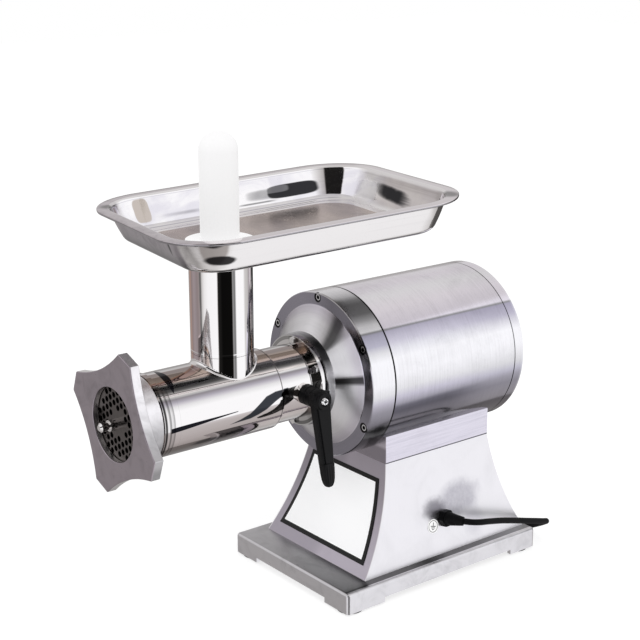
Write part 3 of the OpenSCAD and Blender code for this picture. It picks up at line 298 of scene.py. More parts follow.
# %% A material and its nodes
class Paint:
    """A material with one Principled shader. Its methods add nodes and return flows."""

    def __init__(self, name, tree=None):
        if tree is None:
            self.material = bpy.data.materials.new(name)
            self.material.use_nodes = True
            tree = self.material.node_tree
        self.tree = tree
        tree.nodes.clear()

    def node(self, kind, settings=None, output=0, **inputs):
        """Any other node: its settings first, then its sockets' values or links, with _ for a space."""
        node = self.tree.nodes.new(kind)
        for key, value in (settings or {}).items():
            if key == "stops":
                ramp = node.color_ramp
                while len(ramp.elements) < len(value):
                    ramp.elements.new(0.5)
                for element, (at, tone) in zip(ramp.elements, value):
                    element.position, element.color = at, tone_of(tone)
            else:
                setattr(node, key, value)
        for key, value in inputs.items():
            self.plug(node, key.replace("_", " ") if not key.isdigit() else int(key), value)
        return Flow(self.tree, node.outputs[output]) if node.outputs else node

    def plug(self, node, key, value):
        """Sets or links one input of a node, found by its name or number."""
        socket = node.inputs[key]
        if isinstance(value, Flow):
            self.tree.links.new(value.socket, socket)
            return
        width = len(socket.default_value) if hasattr(socket.default_value, "__len__") else 1
        if width == 4:
            socket.default_value = tone_of(value)
        elif width == 3 and not hasattr(value, "__len__"):
            socket.default_value = (value,) * 3
        else:
            socket.default_value = value

    def shade(self, **values):
        """Ends the material: a Principled shader with these sockets."""
        shader = self.tree.nodes.new("ShaderNodeBsdfPrincipled")
        for key, value in values.items():
            self.plug(shader, key.replace("_", " "), value)
        output = self.tree.nodes.new("ShaderNodeOutputMaterial")
        self.tree.links.new(shader.outputs[0], output.inputs[0])
        return self.material

    def place(self, centre=(0, 0, 0), scale=(1, 1, 1), turn=(0, 0, 0)):
        """Object coordinates, moved so that centre is the origin, turned, then scaled."""
        coordinate = self.node("ShaderNodeTexCoord", output="Object")
        moved = self.vectors("SUBTRACT", coordinate, tuple(centre))
        return self.node("ShaderNodeMapping", {}, Vector=moved, Rotation=tuple(turn), Scale=tuple(scale))

    def axes(self, vector):
        """The three numbers of a vector."""
        node = self.tree.nodes.new("ShaderNodeSeparateXYZ")
        self.tree.links.new(vector.socket, node.inputs[0])
        return [Flow(self.tree, s) for s in node.outputs]

    def vector(self, x, y, z):
        """A vector from three numbers."""
        return self.node("ShaderNodeCombineXYZ", X=x, Y=y, Z=z)

    def noise(self, vector, scale=1.0, detail=3.0, rough=0.5, bend=0.0):
        """Cloudy noise from 0 to 1, mostly near a half; scale is in clouds for each unit of the vector."""
        return self.node("ShaderNodeTexNoise", Vector=vector, Scale=scale, Detail=detail, Roughness=rough,
                         Distortion=bend)

    def mix(self, factor, a, b):
        """Colour a where factor is 0 and b where it is 1."""
        node = self.tree.nodes.new("ShaderNodeMix")
        node.data_type = "RGBA"
        for key, value in (("Factor_Float", factor), ("A_Color", a), ("B_Color", b)):
            socket = next(s for s in node.inputs if s.identifier == key)
            if isinstance(value, Flow):
                self.tree.links.new(value.socket, socket)
            else:
                socket.default_value = value if key == "Factor_Float" else tone_of(value)
        return Flow(self.tree, next(s for s in node.outputs if s.identifier == "Result_Color"))

    def ramp(self, value, low, high, stops):
        """The colour that stops, pairs of a value and a tone, give between low and high."""
        places = [((at - low) / (high - low), tone) for at, tone in stops]
        return self.node("ShaderNodeValToRGB", {"stops": places}, Fac=(value - low) * (1 / (high - low)))

    def around(self, degrees, stops):
        """The colour that stops, pairs of degrees and a tone, give all the way around an axis."""
        return self.ramp(degrees, -180, 180, stops)

    def vectors(self, operation, a, b=(0, 0, 0), output=0):
        """Vector maths on two vectors or colours, or on one."""
        return self.node("ShaderNodeVectorMath", {"operation": operation}, output, **{"0": a, "1": b})

    def times(self, a, b):
        """Two colours multiplied."""
        return self.vectors("MULTIPLY", a, b)

    def blot(self, at, half, turn=(0, 0, 0), soft=0.35, ragged=0.4, scale=90.0):
        """1 inside a turned ellipsoid of these half sizes around a point, easing to 0 over a ragged edge."""
        place = self.place(at, turn=tuple(-angle for angle in turn))
        distance = self.vectors("LENGTH", self.vectors("DIVIDE", place, tuple(half)), output="Value")
        edge = self.noise(place, scale, 3.0, 0.6)
        return (distance + (edge - 0.5) * ragged).step(1 + soft, 1 - soft)

    def bump(self, height, strength, distance):
        """A slope for the light from a height, which is multiplied by distance in metres."""
        return self.node("ShaderNodeBump", Height=height, Strength=strength, Distance=distance)


print("node maths ready")

# %% [markdown]
# ## The studio
# The background is plain white. Camera rays see it as pure white, and glossy rays see a soft studio with a
# few dark panels, because polished steel only looks like steel when it has something dark to mirror. A
# painted panorama would do the same; four rings of tones, one above another, are easier to adjust panel by
# panel.


# %% A white world for the camera, a studio with dark gaps for mirrors
def compass(paint, vector):
    """Heading as 0 to 1 once round, 0.5 towards the outlet and more towards +X, and height from -1 to 1."""
    x, y, z = paint.axes(vector)
    return x.turn_with(-y) * (0.5 / math.pi) + 0.5, z


def round_the_studio(paint, heading, stops):
    """A colour ramp over headings in degrees."""
    places = [(0.5 + at / 360.0, tone) for at, tone in stops]
    return paint.node("ShaderNodeValToRGB", {"stops": places}, Fac=heading)


LOW_TONES = [
    (-180, 0.25), (-150, 0.30), (-92, 0.40), (-60, 0.40), (-30, 0.30), (-10, 0.50), (10, 0.60), (40, 0.62),
    (90, 0.75), (107, 0.85), (130, 0.86), (150, 0.84), (178, 0.60)]
MID_TONES = [
    (-180, 0.08), (-138, 0.08), (-132, 0.42), (-90, 0.45), (-56, 0.42), (-40, 0.36), (-24, 0.42),
    (-14, 0.66), (-6, 0.85), (8, 0.95), (41, 0.98), (44, 0.012), (95, 0.012), (98, 1.0), (143, 1.0),
    (150, 0.62), (178, 0.5)]
UPPER_TONES = [
    (-180, 0.72), (-165, 0.68), (-140, 0.66), (-134, 0.66), (-90, 0.62), (-65, 0.62), (-45, 0.75),
    (-28, 0.95), (11, 0.97), (14, 0.012), (64, 0.012), (68, 0.45), (96, 0.85), (104, 1.0), (165, 1.0),
    (176, 0.8)]
HIGH_TONES = [
    (-180, 0.70), (-150, 0.68), (-120, 0.60), (-60, 0.60), (0, 0.60), (60, 0.60), (120, 0.66), (165, 0.70)]

world = bpy.data.worlds.new("studio")
scene.world = world
world.use_nodes = True
studio = Paint("studio", world.node_tree)
ray = studio.node("ShaderNodeLightPath", output="Is Camera Ray")
gloss = studio.node("ShaderNodeLightPath", output="Is Glossy Ray")
heading, height = compass(studio, studio.node("ShaderNodeTexCoord", output="Generated"))
rings = [round_the_studio(studio, heading, tones)
         for tones in (LOW_TONES, MID_TONES, UPPER_TONES, HIGH_TONES)]
mirrored = studio.mix(height.step(-0.58, -0.46), rings[0], rings[1])
mirrored = studio.mix(height.step(0.06, 0.20), mirrored, rings[2])
mirrored = studio.mix(height.step(0.665, 0.695), mirrored, rings[3])
level = studio.node("ShaderNodeRGBToBW", Color=mirrored)
warm_dark, cool_light = (1.02, 0.955, 0.925), (0.985, 0.985, 1.01)
mirrored = studio.times(mirrored, studio.mix(level, warm_dark, cool_light))
even = studio.mix(gloss, 0.8, mirrored)
sky = studio.node("ShaderNodeBackground", Color=studio.mix(ray, even, 1.0), Strength=1.0)
world_end = studio.tree.nodes.new("ShaderNodeOutputWorld")
studio.tree.links.new(sky.socket, world_end.inputs[0])
print("world has", len(studio.tree.nodes), "nodes")

# %% [markdown]
# ## Floor and lamps
# The machine stands on a sheet so pale that it runs into the background, and only its soft shadow shows.
# The sheet glows a little, which keeps it white without lamps so strong that they would bleach the metal.
# Two large square lamps make the soft shadow; mirrors don't see them, since the studio above already gives
# the reflections.

# %% Pale floor
FLOOR_HALF = 6.0
floor = mesh_from("floor", [(-FLOOR_HALF, -FLOOR_HALF, 0), (FLOOR_HALF, -FLOOR_HALF, 0),
                            (FLOOR_HALF, FLOOR_HALF, 0), (-FLOOR_HALF, FLOOR_HALF, 0)], [(0, 1, 2, 3)])
floor.visible_glossy = False
floor.data.materials.append(Paint("pale_floor").shade(
    Base_Color=0.42, Roughness=1.0, Specular_IOR_Level=0.0, Emission_Color=1.0, Emission_Strength=0.7))
print("floor laid")


# %% Soft lamps
def soft_lamp(name, at, size, power):
    """A square area lamp of that size in metres, facing the machine's middle and unseen by mirrors."""
    data = bpy.data.lights.new(name, "AREA")
    data.shape, data.size, data.energy = "SQUARE", size, power
    lamp = bpy.data.objects.new(name, data)
    scene.collection.objects.link(lamp)
    lamp.matrix_world = look_at(Vector(at), Vector((0, -0.08, 0.22)))
    lamp.visible_glossy = False
    return lamp


soft_lamp("key", (1.6, -0.6, 2.4), 1.4, 22)
soft_lamp("fill", (-1.2, -1.6, 1.6), 1.6, 8)
print("lamps placed")

# %% [markdown]
# ## The feed tray
# A deep pan pressed from one sheet of steel, with a flat lip and a folded edge. Its solid has the right
# size, but its bends are too coarse for a mirror polish. The finer pan is one profile carried around a
# rounded rectangle: row by row it goes in from the folded edge, over the lip, down the wall, around the
# bend and over the floor to the feed hole. It is turned and tilted a little, as the real tray sits on its
# tube.

# %% The tray's sizes and its outline
TRAY_TURN, TRAY_TILT = math.radians(-7.7), math.radians(2.9)
TRAY_WIDE, TRAY_LONG, TRAY_BACK, TRAY_DEEP = 0.258, 0.331, 0.0675, 0.0362
LIP, CORNER, SLOPE = 0.0126, 0.064, math.radians(68)
SHEET, RIM_ROUND, EDGE_ROUND, FLOOR_BEND, FOLD, BOW = 0.0012, 0.0035, 0.0009, 0.0100, 0.0026, 0.0007
FEED_R, TRAY_FLOOR_Z = 0.0300, 0.399
AXIS_Z = float(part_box("motor_housing")[0][2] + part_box("motor_housing")[1][2]) / 2
FEED_Y = float(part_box("pusher")[0][1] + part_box("pusher")[1][1]) / 2


def arc(centre, radius, start, end, steps):
    """Points of an arc in the profile's plane; angles in radians."""
    t = np.linspace(start, end, steps)
    return np.stack([centre[0] + radius * np.cos(t), centre[1] + radius * np.sin(t)], -1)


def rounded_outline(inset, per_corner=20, per_side=14):
    """Points around the rim, moved in by inset: sides cut into equal steps, corners into equal angles."""
    half = np.array([TRAY_WIDE, TRAY_LONG]) / 2 - inset
    radius = max(CORNER - inset, 0.004)
    pieces = []
    for turn, (sx, sy) in enumerate([(1, 1), (-1, 1), (-1, -1), (1, -1)]):
        t = np.pi / 2 * (turn + np.linspace(0, 1, per_corner))
        pieces.append(np.stack([sx * (half[0] - radius) + radius * np.cos(t),
                                sy * (half[1] - radius) + radius * np.sin(t)], -1))
    outline = []
    for k in range(4):
        here, after = pieces[k], pieces[(k + 1) % 4]
        step = np.linspace(0, 1, per_side, endpoint=False)[1:, None]
        outline += [here, here[-1] + (after[0] - here[-1]) * step]
    return np.vstack(outline)


print("outline has", len(rounded_outline(0)), "points")


# %% The tray as a profile carried around its outline
def tray_profile():
    """Rows of (inset, height above the rim's top): fold, lip, round-over, slightly bowed wall, bend."""
    fold = np.array([(SHEET * 0.2, -FOLD), (0, -FOLD * 0.5)])
    edge = arc((EDGE_ROUND, -EDGE_ROUND), EDGE_ROUND, np.pi, np.pi / 2, 4)
    bend_at = (LIP - RIM_ROUND * np.tan((np.pi - SLOPE) / 4), -RIM_ROUND)
    round_over = arc(bend_at, RIM_ROUND, np.pi / 2, np.pi / 2 - SLOPE, 8)
    floor_y = -TRAY_DEEP + SHEET
    down = floor_y + FLOOR_BEND * (1 - np.cos(SLOPE)) - round_over[-1, 1]
    top = round_over[-1]
    t = np.linspace(0, 1, 12)[1:, None]
    bow = BOW * np.sin(np.pi * t)
    way, outwards = np.array([-down / np.tan(SLOPE), down]), np.array([-np.sin(SLOPE), -np.cos(SLOPE)])
    wall = top + t * way + bow * outwards
    centre = (wall[-1, 0] + FLOOR_BEND * np.sin(SLOPE), floor_y + FLOOR_BEND)
    bend = arc(centre, FLOOR_BEND, -np.pi / 2 - SLOPE, -np.pi / 2, 12)[1:]
    return np.vstack([fold, edge, round_over, wall, bend])


def tray_surface():
    """The whole sheet: the profile's rings, then rings that shrink to the feed hole, placed over the tube."""
    profile = tray_profile()
    rings = np.stack([np.c_[rounded_outline(inset), np.full(len(rounded_outline(inset)), height)]
                      for inset, height in profile])
    rings[..., 1] += TRAY_BACK
    last = rings[-1, :, :2]
    hole = FEED_R * last / np.linalg.norm(last, axis=1)[:, None]
    share = np.linspace(0, 1, 26)[1:, None, None] ** 1.3
    floor_rings = last[None] * (1 - share) + hole[None] * share
    floor_rings = np.concatenate([floor_rings, np.full(floor_rings.shape[:2] + (1,), profile[-1, 1])], -1)
    points = np.concatenate([rings, floor_rings])
    points[..., 2] += TRAY_DEEP
    rows, columns = points.shape[:2]
    turn = Matrix.Rotation(TRAY_TURN, 3, "Z") @ Matrix.Rotation(TRAY_TILT, 3, "X")
    points = points.reshape(-1, 3) @ np.array(turn).T + [0, FEED_Y, TRAY_FLOOR_Z]
    return mesh_from("tray_pan", points, grid_quads(rows, columns, close_columns=True))


tray_pan = finish_mesh(tray_surface(), flat_angle=70)
sheet = tray_pan.modifiers.new("sheet", "SOLIDIFY")
sheet.thickness, sheet.offset = SHEET, -1
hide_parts("tray")
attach(tray_pan, "feed_tray")
print("tray has", len(tray_pan.data.polygons), "faces")

# %% [markdown]
# ## The weld between the feed stub and the barrel
# Where the upright stub meets the barrel, the real joint is a ground weld without a hard corner. A bevel
# can't follow two crossing tubes well, so the weld is the surface that a small ball leaves as it rolls in
# the corner.

# %% A rolling-ball weld
BARREL_R, STUB_R, WELD_R = 0.0432, 0.0325, 0.0045


def weld_surface(columns=96, rows=9, lift=0.00015):
    """A ball of radius WELD_R rolls in the corner between the tubes. Its centre is WELD_R out from both
    walls; each row is a direction between the one to the stub's wall and the one to the barrel's axis."""
    u = np.linspace(0, 2 * np.pi, columns, endpoint=False)
    reach = STUB_R + WELD_R
    across = reach * np.cos(u)
    centre = np.stack([across, reach * np.sin(u), np.sqrt((BARREL_R + WELD_R) ** 2 - across ** 2)], -1)
    to_stub = np.stack([-np.cos(u), -np.sin(u), np.zeros(columns)], -1)
    to_barrel = -centre * [1, 0, 1] / (BARREL_R + WELD_R)
    angle = np.arccos(np.sum(to_stub * to_barrel, -1))[:, None]
    share = np.linspace(0, 1, rows)[:, None, None]
    way = (np.sin((1 - share) * angle) * to_stub + np.sin(share * angle) * to_barrel) / np.sin(angle)
    points = centre + (WELD_R + lift * (1 - 4 * np.abs(share - 0.5) ** 2)) * way
    return points.reshape(-1, 3) + [0, FEED_Y, AXIS_Z], grid_quads(rows, columns, close_columns=True)


weld = mesh_from("stub_weld", *weld_surface())
skin = weld.modifiers.new("skin", "SOLIDIFY")
skin.thickness, skin.offset = 0.0003, 1
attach(weld, "head")
print("weld has", len(weld.data.polygons), "faces")

# %% [markdown]
# ## Soft edges
# The ring nut's facets and the base plate's edges catch thin lines of light, which a knife-sharp edge never
# does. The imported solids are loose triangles, so a copy is merged first, its flat faces are joined again,
# and a bevel rounds the edges that are left.


# %% Soft edges on a copy of a solid
def soft_copy(name, body, width, segments=2, angle=32.0):
    """A merged copy of a solid with flat faces joined again and its sharp edges rounded by width."""
    piece = bpy.data.objects.new(name + "_soft", nodes[name].data.copy())
    scene.collection.objects.link(piece)
    data = bmesh.new()
    data.from_mesh(piece.data)
    bmesh.ops.remove_doubles(data, verts=data.verts, dist=1e-6)
    bmesh.ops.dissolve_limit(data, angle_limit=math.radians(0.6), verts=data.verts, edges=data.edges)
    bmesh.ops.recalc_face_normals(data, faces=data.faces)
    for face in data.faces:
        face.smooth = True
    for edge in data.edges:
        edge.smooth = len(edge.link_faces) == 2 and edge.calc_face_angle(0.0) < math.radians(angle)
    data.to_mesh(piece.data)
    data.free()
    bevel = piece.modifiers.new("edges", "BEVEL")
    bevel.width, bevel.segments = width, segments
    bevel.limit_method, bevel.angle_limit = "ANGLE", math.radians(angle)
    bevel.harden_normals, bevel.use_clamp_overlap = True, True
    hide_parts(name)
    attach(piece, body)
    return piece


ring_nut = soft_copy("ring_nut", "nut", 0.0011, 3)
base_plate = soft_copy("base_plate", "machine", 0.0007, 2)
print("soft copies made")

# %% [markdown]
# ## The clamp lever
# A black moulded lever: a round hub with grooves, a tapering arm with chamfered edges, and a short ribbed
# grip. Its chamfers and ribs show as fine highlights, so the lever is lofted anew: sections across the arm,
# sections across the grip, and a turned profile for the hub, each closed at both ends. Sizes here are in
# millimetres.

# %% Sections of the lever
LEVER_Y, HUB_NEAR, HUB_FAR, LEAN = -0.1503, 0.0447, 0.0757, math.radians(9)
HUB_PROFILE = [
    (0, 10.2), (0.6, 10.8), (7.5, 10.8), (8.0, 10.0), (9.0, 10.0), (9.5, 10.8), (16, 10.8), (16.5, 10.0),
    (17.5, 10.0), (18, 10.8), (27.4, 10.9), (28.2, 10.5), (29.0, 9.4), (31.0, 8.6), (31.0, 5.7),
    (29.6, 5.5)]
GRIP_STEPS = [
    (67.0, 6.4, 4.4, 0), (67.3, 7.6, 5.2, 0), (69.0, 7.8, 5.4, 0.0), (70.0, 7.6, 5.3, 0.03),
    (78, 7.2, 5.1, 0.035), (84, 6.5, 4.9, 0.035), (88.5, 5.4, 4.5, 0.02), (91.5, 3.8, 3.8, 0.0),
    (92.6, 2.2, 2.6, 0.0)]
ARM_STEPS = (-7.6, 8, 24, 40, 56, 68.5)


def loft(sections):
    """Closed sections of equal length, joined row by row and closed by a flat fan at both ends."""
    sections = np.asarray(sections)
    rows, columns = sections.shape[:2]
    points = np.vstack([sections.reshape(-1, 3), sections[0].mean(0), sections[-1].mean(0)])
    quads = list(grid_quads(rows, columns, close_columns=True))
    for k in range(columns):
        after = (k + 1) % columns
        quads.append((rows * columns, after, k))
        quads.append((rows * columns + 1, (rows - 1) * columns + k, (rows - 1) * columns + after))
    return points, quads


def arm_section(down, half_y, half_x):
    """The arm cut across: chamfered, with a groove beside the chamfer that faces the outlet."""
    w, t = half_y, half_x
    shape = np.array([(-w, -t), (-w, t - 2.2), (-w + 0.9, t - 0.9), (-w + 1.8, t - 0.7), (-w + 2.2, t - 1.6),
                      (-w + 3.0, t - 1.6), (-w + 3.6, t - 0.1), (w - 1.4, t), (w, t - 1.4), (w, 1.2 - t),
                      (w - 1.2, -t), (1.2 - w, -t)]) / 1000
    return np.c_[shape[:, 1], shape[:, 0], np.full(len(shape), -down / 1000)]


def grip_section(down, half_y, half_x, ribs):
    """A rounded rectangle, x to the 4th plus y to the 4th constant, with ribs as a cosine around it."""
    t = np.linspace(0, 2 * np.pi, 96, endpoint=False)
    reach = (np.abs(np.cos(t)) ** 4 + np.abs(np.sin(t)) ** 4) ** -0.25 * (1 + ribs * np.cos(16 * t))
    return np.c_[half_x * reach * np.cos(t), half_y * reach * np.sin(t), np.full(96, -down)] / 1000


def hub_section(x, radius):
    """A circle around the hub's axis, which runs along X."""
    t = np.linspace(0, -2 * np.pi, 64, endpoint=False)
    y, z = LEVER_Y + radius / 1000 * np.sin(t), AXIS_Z + radius / 1000 * np.cos(t)
    return np.c_[np.full(64, HUB_NEAR + x / 1000), y, z]


print("lever reaches", GRIP_STEPS[-1][0], "mm down from its hub")


# %% The clamp lever
def place_arm(points):
    """From the arm's own frame, hanging down from the hub's end, to the machine."""
    return points @ np.array(Matrix.Rotation(-LEAN, 3, "Y")).T + [HUB_FAR - 0.008, LEVER_Y, AXIS_Z]


def lever_surface():
    """Arm, grip and hub as three closed surfaces in one mesh; the arm narrows evenly on its way down."""
    arm = [arm_section(down, 10.6 - 0.052 * down, 4.4) for down in reversed(ARM_STEPS)]
    grip = [grip_section(*step) for step in reversed(GRIP_STEPS)]
    hub = [hub_section(*step) for step in HUB_PROFILE]
    points, quads = [], []
    for section, moved in ((arm, True), (grip, True), (hub, False)):
        new, faces = loft(section)
        quads += [tuple(int(k) + sum(map(len, points)) for k in face) for face in faces]
        points.append(place_arm(new) if moved else new)
    return mesh_from("lever_soft", np.vstack(points), quads)


lever = finish_mesh(lever_surface(), flat_angle=28)
soften = lever.modifiers.new("edges", "BEVEL")
soften.width, soften.segments = 0.0003, 2
soften.limit_method, soften.angle_limit = "ANGLE", math.radians(28)
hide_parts("clamp_lever")
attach(lever, "lever")
print("lever has", len(lever.data.polygons), "faces")

# %% [markdown]
# ## Places on a part
# Every finish starts from a place on the part in metres. Parts turned on a lathe read their place as an
# angle around the shared axis, a distance along it and a radius, so that tool marks and bands of light run
# with the shape. Unwrapping the surfaces would give the same freedom, but a formula in the machine's own
# axes needs no seams and carries on from one part to the next.

# %% Places on a part, and the pieces that a finish goes on
DEGREES = 180 / math.pi


def turned_place(paint):
    """Angle around the machine's axis, distance along it and radius; 0 is towards +X, a quarter turn up."""
    x, y, z = paint.axes(paint.place((0, 0, AXIS_Z)))
    return z.turn_with(x), y, (x * x + z * z).sqrt()


def brushed_around(paint, place, around, fine, detail, rough):
    """Brush lines around the axis: noise that changes slowly around it and fast along it and outwards."""
    angle, along, radius = place
    return paint.noise(paint.vector(angle * around, along * fine, radius * fine), 1.0, detail, rough)


def darker(share, tone):
    """A colour with each of its parts scaled by share."""
    return tuple(share * part for part in tone)


def dress(material, *names):
    """Gives the named nodes or pieces this material."""
    for name in names:
        piece = nodes[name] if isinstance(name, str) else name
        piece.data.materials.clear()
        piece.data.materials.append(material)


print("axis height", round(AXIS_Z, 4), "feed tube at", round(FEED_Y, 4))

# %% [markdown]
# ## Turned aluminium
# The motor housing and its covers are turned and polished. They mirror the room as long bands that lie along
# the machine, broken by clouds of wiping and by fine tool marks. The bands could be left to the studio alone,
# but the real room is richer than any that can be built quickly. So the bands are painted reflections: each
# band's tone is a stop on a ramp around the axis, and the studio adds the shine on top.

# %% A maker of turned aluminium
COVER_SEAM, CAP_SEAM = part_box("motor_housing")[0][1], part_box("motor_housing")[1][1]
CONE_R, COVER_R, FACE = 0.0770, 0.0904, -0.0985


def turned_aluminium(name, tone=(0.97, 0.965, 0.985), rough=0.10, cloud_depth=0.10, lines=0.05, tones=None,
                     dull=0.0):
    """Clouds and tool marks darken tone; the function tones gives the painted reflection bands to multiply it
    by. dull is added to the roughness inside the cone of the front cover."""
    paint = Paint(name)
    place = turned_place(paint)
    angle, along, radius = place
    brush = brushed_around(paint, place, 1.3, 900, 4.0, 0.6)
    coarse = brushed_around(paint, place, 1.6, 330, 3.0, 0.7)
    cloud = paint.noise(paint.place(), 14.0, 5.0, 0.6, 0.8)
    fog = paint.noise(paint.place((0.3, 0, 0)), 55.0, 4.0, 0.7)
    depth = (cloud.step(0.35, 0.75) * cloud_depth + fog.step(0.5, 0.8) * cloud_depth * 0.6
             + (brush - 0.5) * lines + (coarse - 0.5) * lines * 2)
    colour = paint.mix(depth, tone, darker(0.45, tone))
    if tones:
        colour = paint.times(colour, tones(paint, angle * DEGREES, along, radius))
    return paint.shade(
        Base_Color=colour, Metallic=1.0,
        Roughness=cloud * 0.10 + brush * 0.06 + radius.step(CONE_R, CONE_R - 0.0004) * dull + (rough - 0.07),
        Normal=paint.bump(brush, 0.05, 0.0004))


print("seams at", round(COVER_SEAM, 4), "and", round(CAP_SEAM, 4))

# %% [markdown]
# ### The housing shell and the rear cap
# The shell's painted reflections make it dark below, as if it mirrored the darker part of a room, and bright
# above, with one sharp grey band at about 40 degrees. Its tones soften towards the rear, so two ramps are
# mixed along it. The rear cap goes on from the shell and shows only a thin seam.

# %% Tones of the shell and the cap
SHELL_FRONT = [
    (-180, 0.6), (-110, 0.5), (-60, 0.2), (-44, (0.115, 0.11, 0.13)), (-36, (0.14, 0.135, 0.155)),
    (-28, (0.21, 0.20, 0.23)), (-22, (0.20, 0.19, 0.22)), (-17.5, (0.125, 0.12, 0.145)),
    (-13.5, (0.17, 0.165, 0.20)), (-10.8, (0.45, 0.44, 0.50)), (-6, (0.60, 0.58, 0.66)), (0, 0.82),
    (6, 0.94), (10, 1.0), (21, 1.0), (27, (0.83, 0.83, 0.86)), (32, (0.64, 0.62, 0.70)),
    (39.6, (0.44, 0.42, 0.50)), (40.3, 0.27), (41.0, 0.27), (41.8, (0.84, 0.80, 0.86)),
    (57, (0.97, 0.93, 0.96)), (70, 1.0), (82, (0.95, 0.91, 0.96)), (105, 1.0), (150, 0.9), (180, 0.6)]
SHELL_REAR = [
    (-180, 0.6), (-110, 0.5), (-60, 0.25), (-48, (0.26, 0.245, 0.27)), (-40, (0.34, 0.325, 0.36)),
    (-28, (0.37, 0.355, 0.39)), (-18, (0.31, 0.30, 0.34)), (-13.5, (0.40, 0.39, 0.44)),
    (-8, (0.54, 0.53, 0.60)), (-2, 0.74), (6, 0.92), (11, 1.0), (21, 1.0), (27, (0.76, 0.75, 0.79)),
    (32, (0.55, 0.53, 0.62)), (39.6, (0.43, 0.41, 0.50)), (40.3, 0.31), (41.0, 0.31),
    (41.8, (0.84, 0.80, 0.85)), (57, (0.99, 0.95, 0.99)), (70, 1.0), (82, (0.95, 0.91, 0.96)), (105, 1.0),
    (150, 0.9), (180, 0.6)]
SEAM_SHADE = 0.0016


def shell_tones(paint, degrees, along, radius):
    """Two ramps of painted reflections mixed along the shell, wavy low down, with a dark line where it meets
    the front cover.
    """
    drift = degrees + (paint.noise(paint.vector(degrees * 0.02, along * 9, 0.0), 1.0, 3.0) - 0.5) * 1.2
    low = degrees.step(-6, -16)
    wavy = low * (drift - degrees) * 2 + degrees
    tone = paint.mix(along.step(0.0, 0.095), paint.around(wavy, SHELL_FRONT), paint.around(wavy, SHELL_REAR))
    return paint.mix(along.step(COVER_SEAM + SEAM_SHADE, COVER_SEAM + 0.0010), tone, 0.012)


def cap_tones(paint, degrees, along, radius):
    """The shell's rear painted reflections, with a painted highlight at the far edge and a thin grey seam
    that painted shade darkens below.
    """
    seam = paint.mix(degrees.step(4, -10), 0.5, 0.06)
    tone = paint.mix(along.step(0.119, 0.124) * 0.5, paint.around(degrees, SHELL_REAR), 1.0)
    return paint.mix(along.step(CAP_SEAM + SEAM_SHADE, CAP_SEAM + 0.0012), tone, paint.times(tone, seam))


dress(turned_aluminium("housing_metal", cloud_depth=0.24, lines=0.20, tones=shell_tones), "motor_housing")
dress(turned_aluminium("cap_metal", rough=0.12, tones=cap_tones), "rear_cap")
print("shell has", len(SHELL_FRONT), "and", len(SHELL_REAR), "stops")

# %% [markdown]
# ### The front cover, its screws and the hub ring
# The cover has three surfaces that face different ways: a narrow side, a flat rim with six socket screws, and
# a cone that runs in to the hub. Each has its own ramp of painted reflections, and the radius chooses between
# them. The dark rings of painted shade around the screw heads and the painted shade in their hexagon sockets
# are drawn by distance from the nearest screw.

# %% Tones of the front cover
COVER_SIDE = [
    (-180, 0.6), (-110, 0.5), (-60, 0.11), (-45, 0.04), (-36, 0.05), (-30, 0.085),
    (-25, (0.24, 0.23, 0.26)), (-15, (0.36, 0.35, 0.39)), (-8, (0.60, 0.58, 0.65)), (-3, 0.80), (4, 0.97),
    (20, 1.0), (26, 0.78), (31, (0.50, 0.49, 0.57)), (39.6, (0.36, 0.35, 0.42)), (40.3, 0.25), (41.0, 0.25),
    (42, 0.80), (46, 0.74), (51, 0.36), (56, 0.16), (66, 0.12), (71, 0.22), (76, 0.58), (82, 0.80),
    (90, 0.97), (150, 0.9), (180, 0.6)]
COVER_RIM = [
    (-180, 0.38), (-120, 0.42), (-72, 0.36), (-24, 0.38), (-12, 0.28), (-5, 0.12), (6, 0.4), (14, 0.8),
    (27, 1.0), (32, 0.3), (36, 0.09), (40, 0.12), (46, 0.34), (75, 0.30), (92, 0.42), (110, 0.47),
    (135, 0.44), (160, 0.38), (180, 0.38)]
COVER_CONE = [
    (-180, 0.7), (-120, 0.6), (-96, 0.85), (-76, 0.75), (-58, 0.95), (-40, 1.0), (-24, 0.9), (-8, 0.72),
    (4.5, 0.85), (6.2, 0.25), (7.0, 0.12), (11.0, 0.08), (12.2, 0.15), (13.2, 1.0), (45.5, 1.0), (48, 0.4),
    (50, 0.16), (57, 0.15), (60, 0.35), (64, 0.8), (69, 1.0), (88, 1.0), (100, 0.92), (130, 0.85),
    (144, 0.6), (180, 0.7)]
HUB = [
    (-180, 0.4), (-90, 0.3), (-40, 0.2), (-22, 0.14), (-10, 0.6), (-4, 1.0), (14, 1.0), (21, 1.0),
    (29, 0.5), (38, 0.10), (62, 0.035), (72, 0.16), (80, 0.36), (100, 0.55), (180, 0.5)]
SCREW_RING, SCREW_TURN = 0.0855, 31.7


def from_screws(paint, degrees, radius):
    """Distance from the nearest of six screws. The angle is folded into one sixth of a turn. The 390 is a
    whole turn, so that nothing is negative, and half a sixth, so that a screw is in the middle of a fold."""
    fold = paint.node("ShaderNodeMath", {"operation": "FRACT"},
                      **{"0": (degrees - SCREW_TURN + 390) * (1 / 60)})
    slip = (fold - 0.5) * (math.pi / 3)
    return ((radius - SCREW_RING) ** 2 + (slip * radius) ** 2).sqrt()


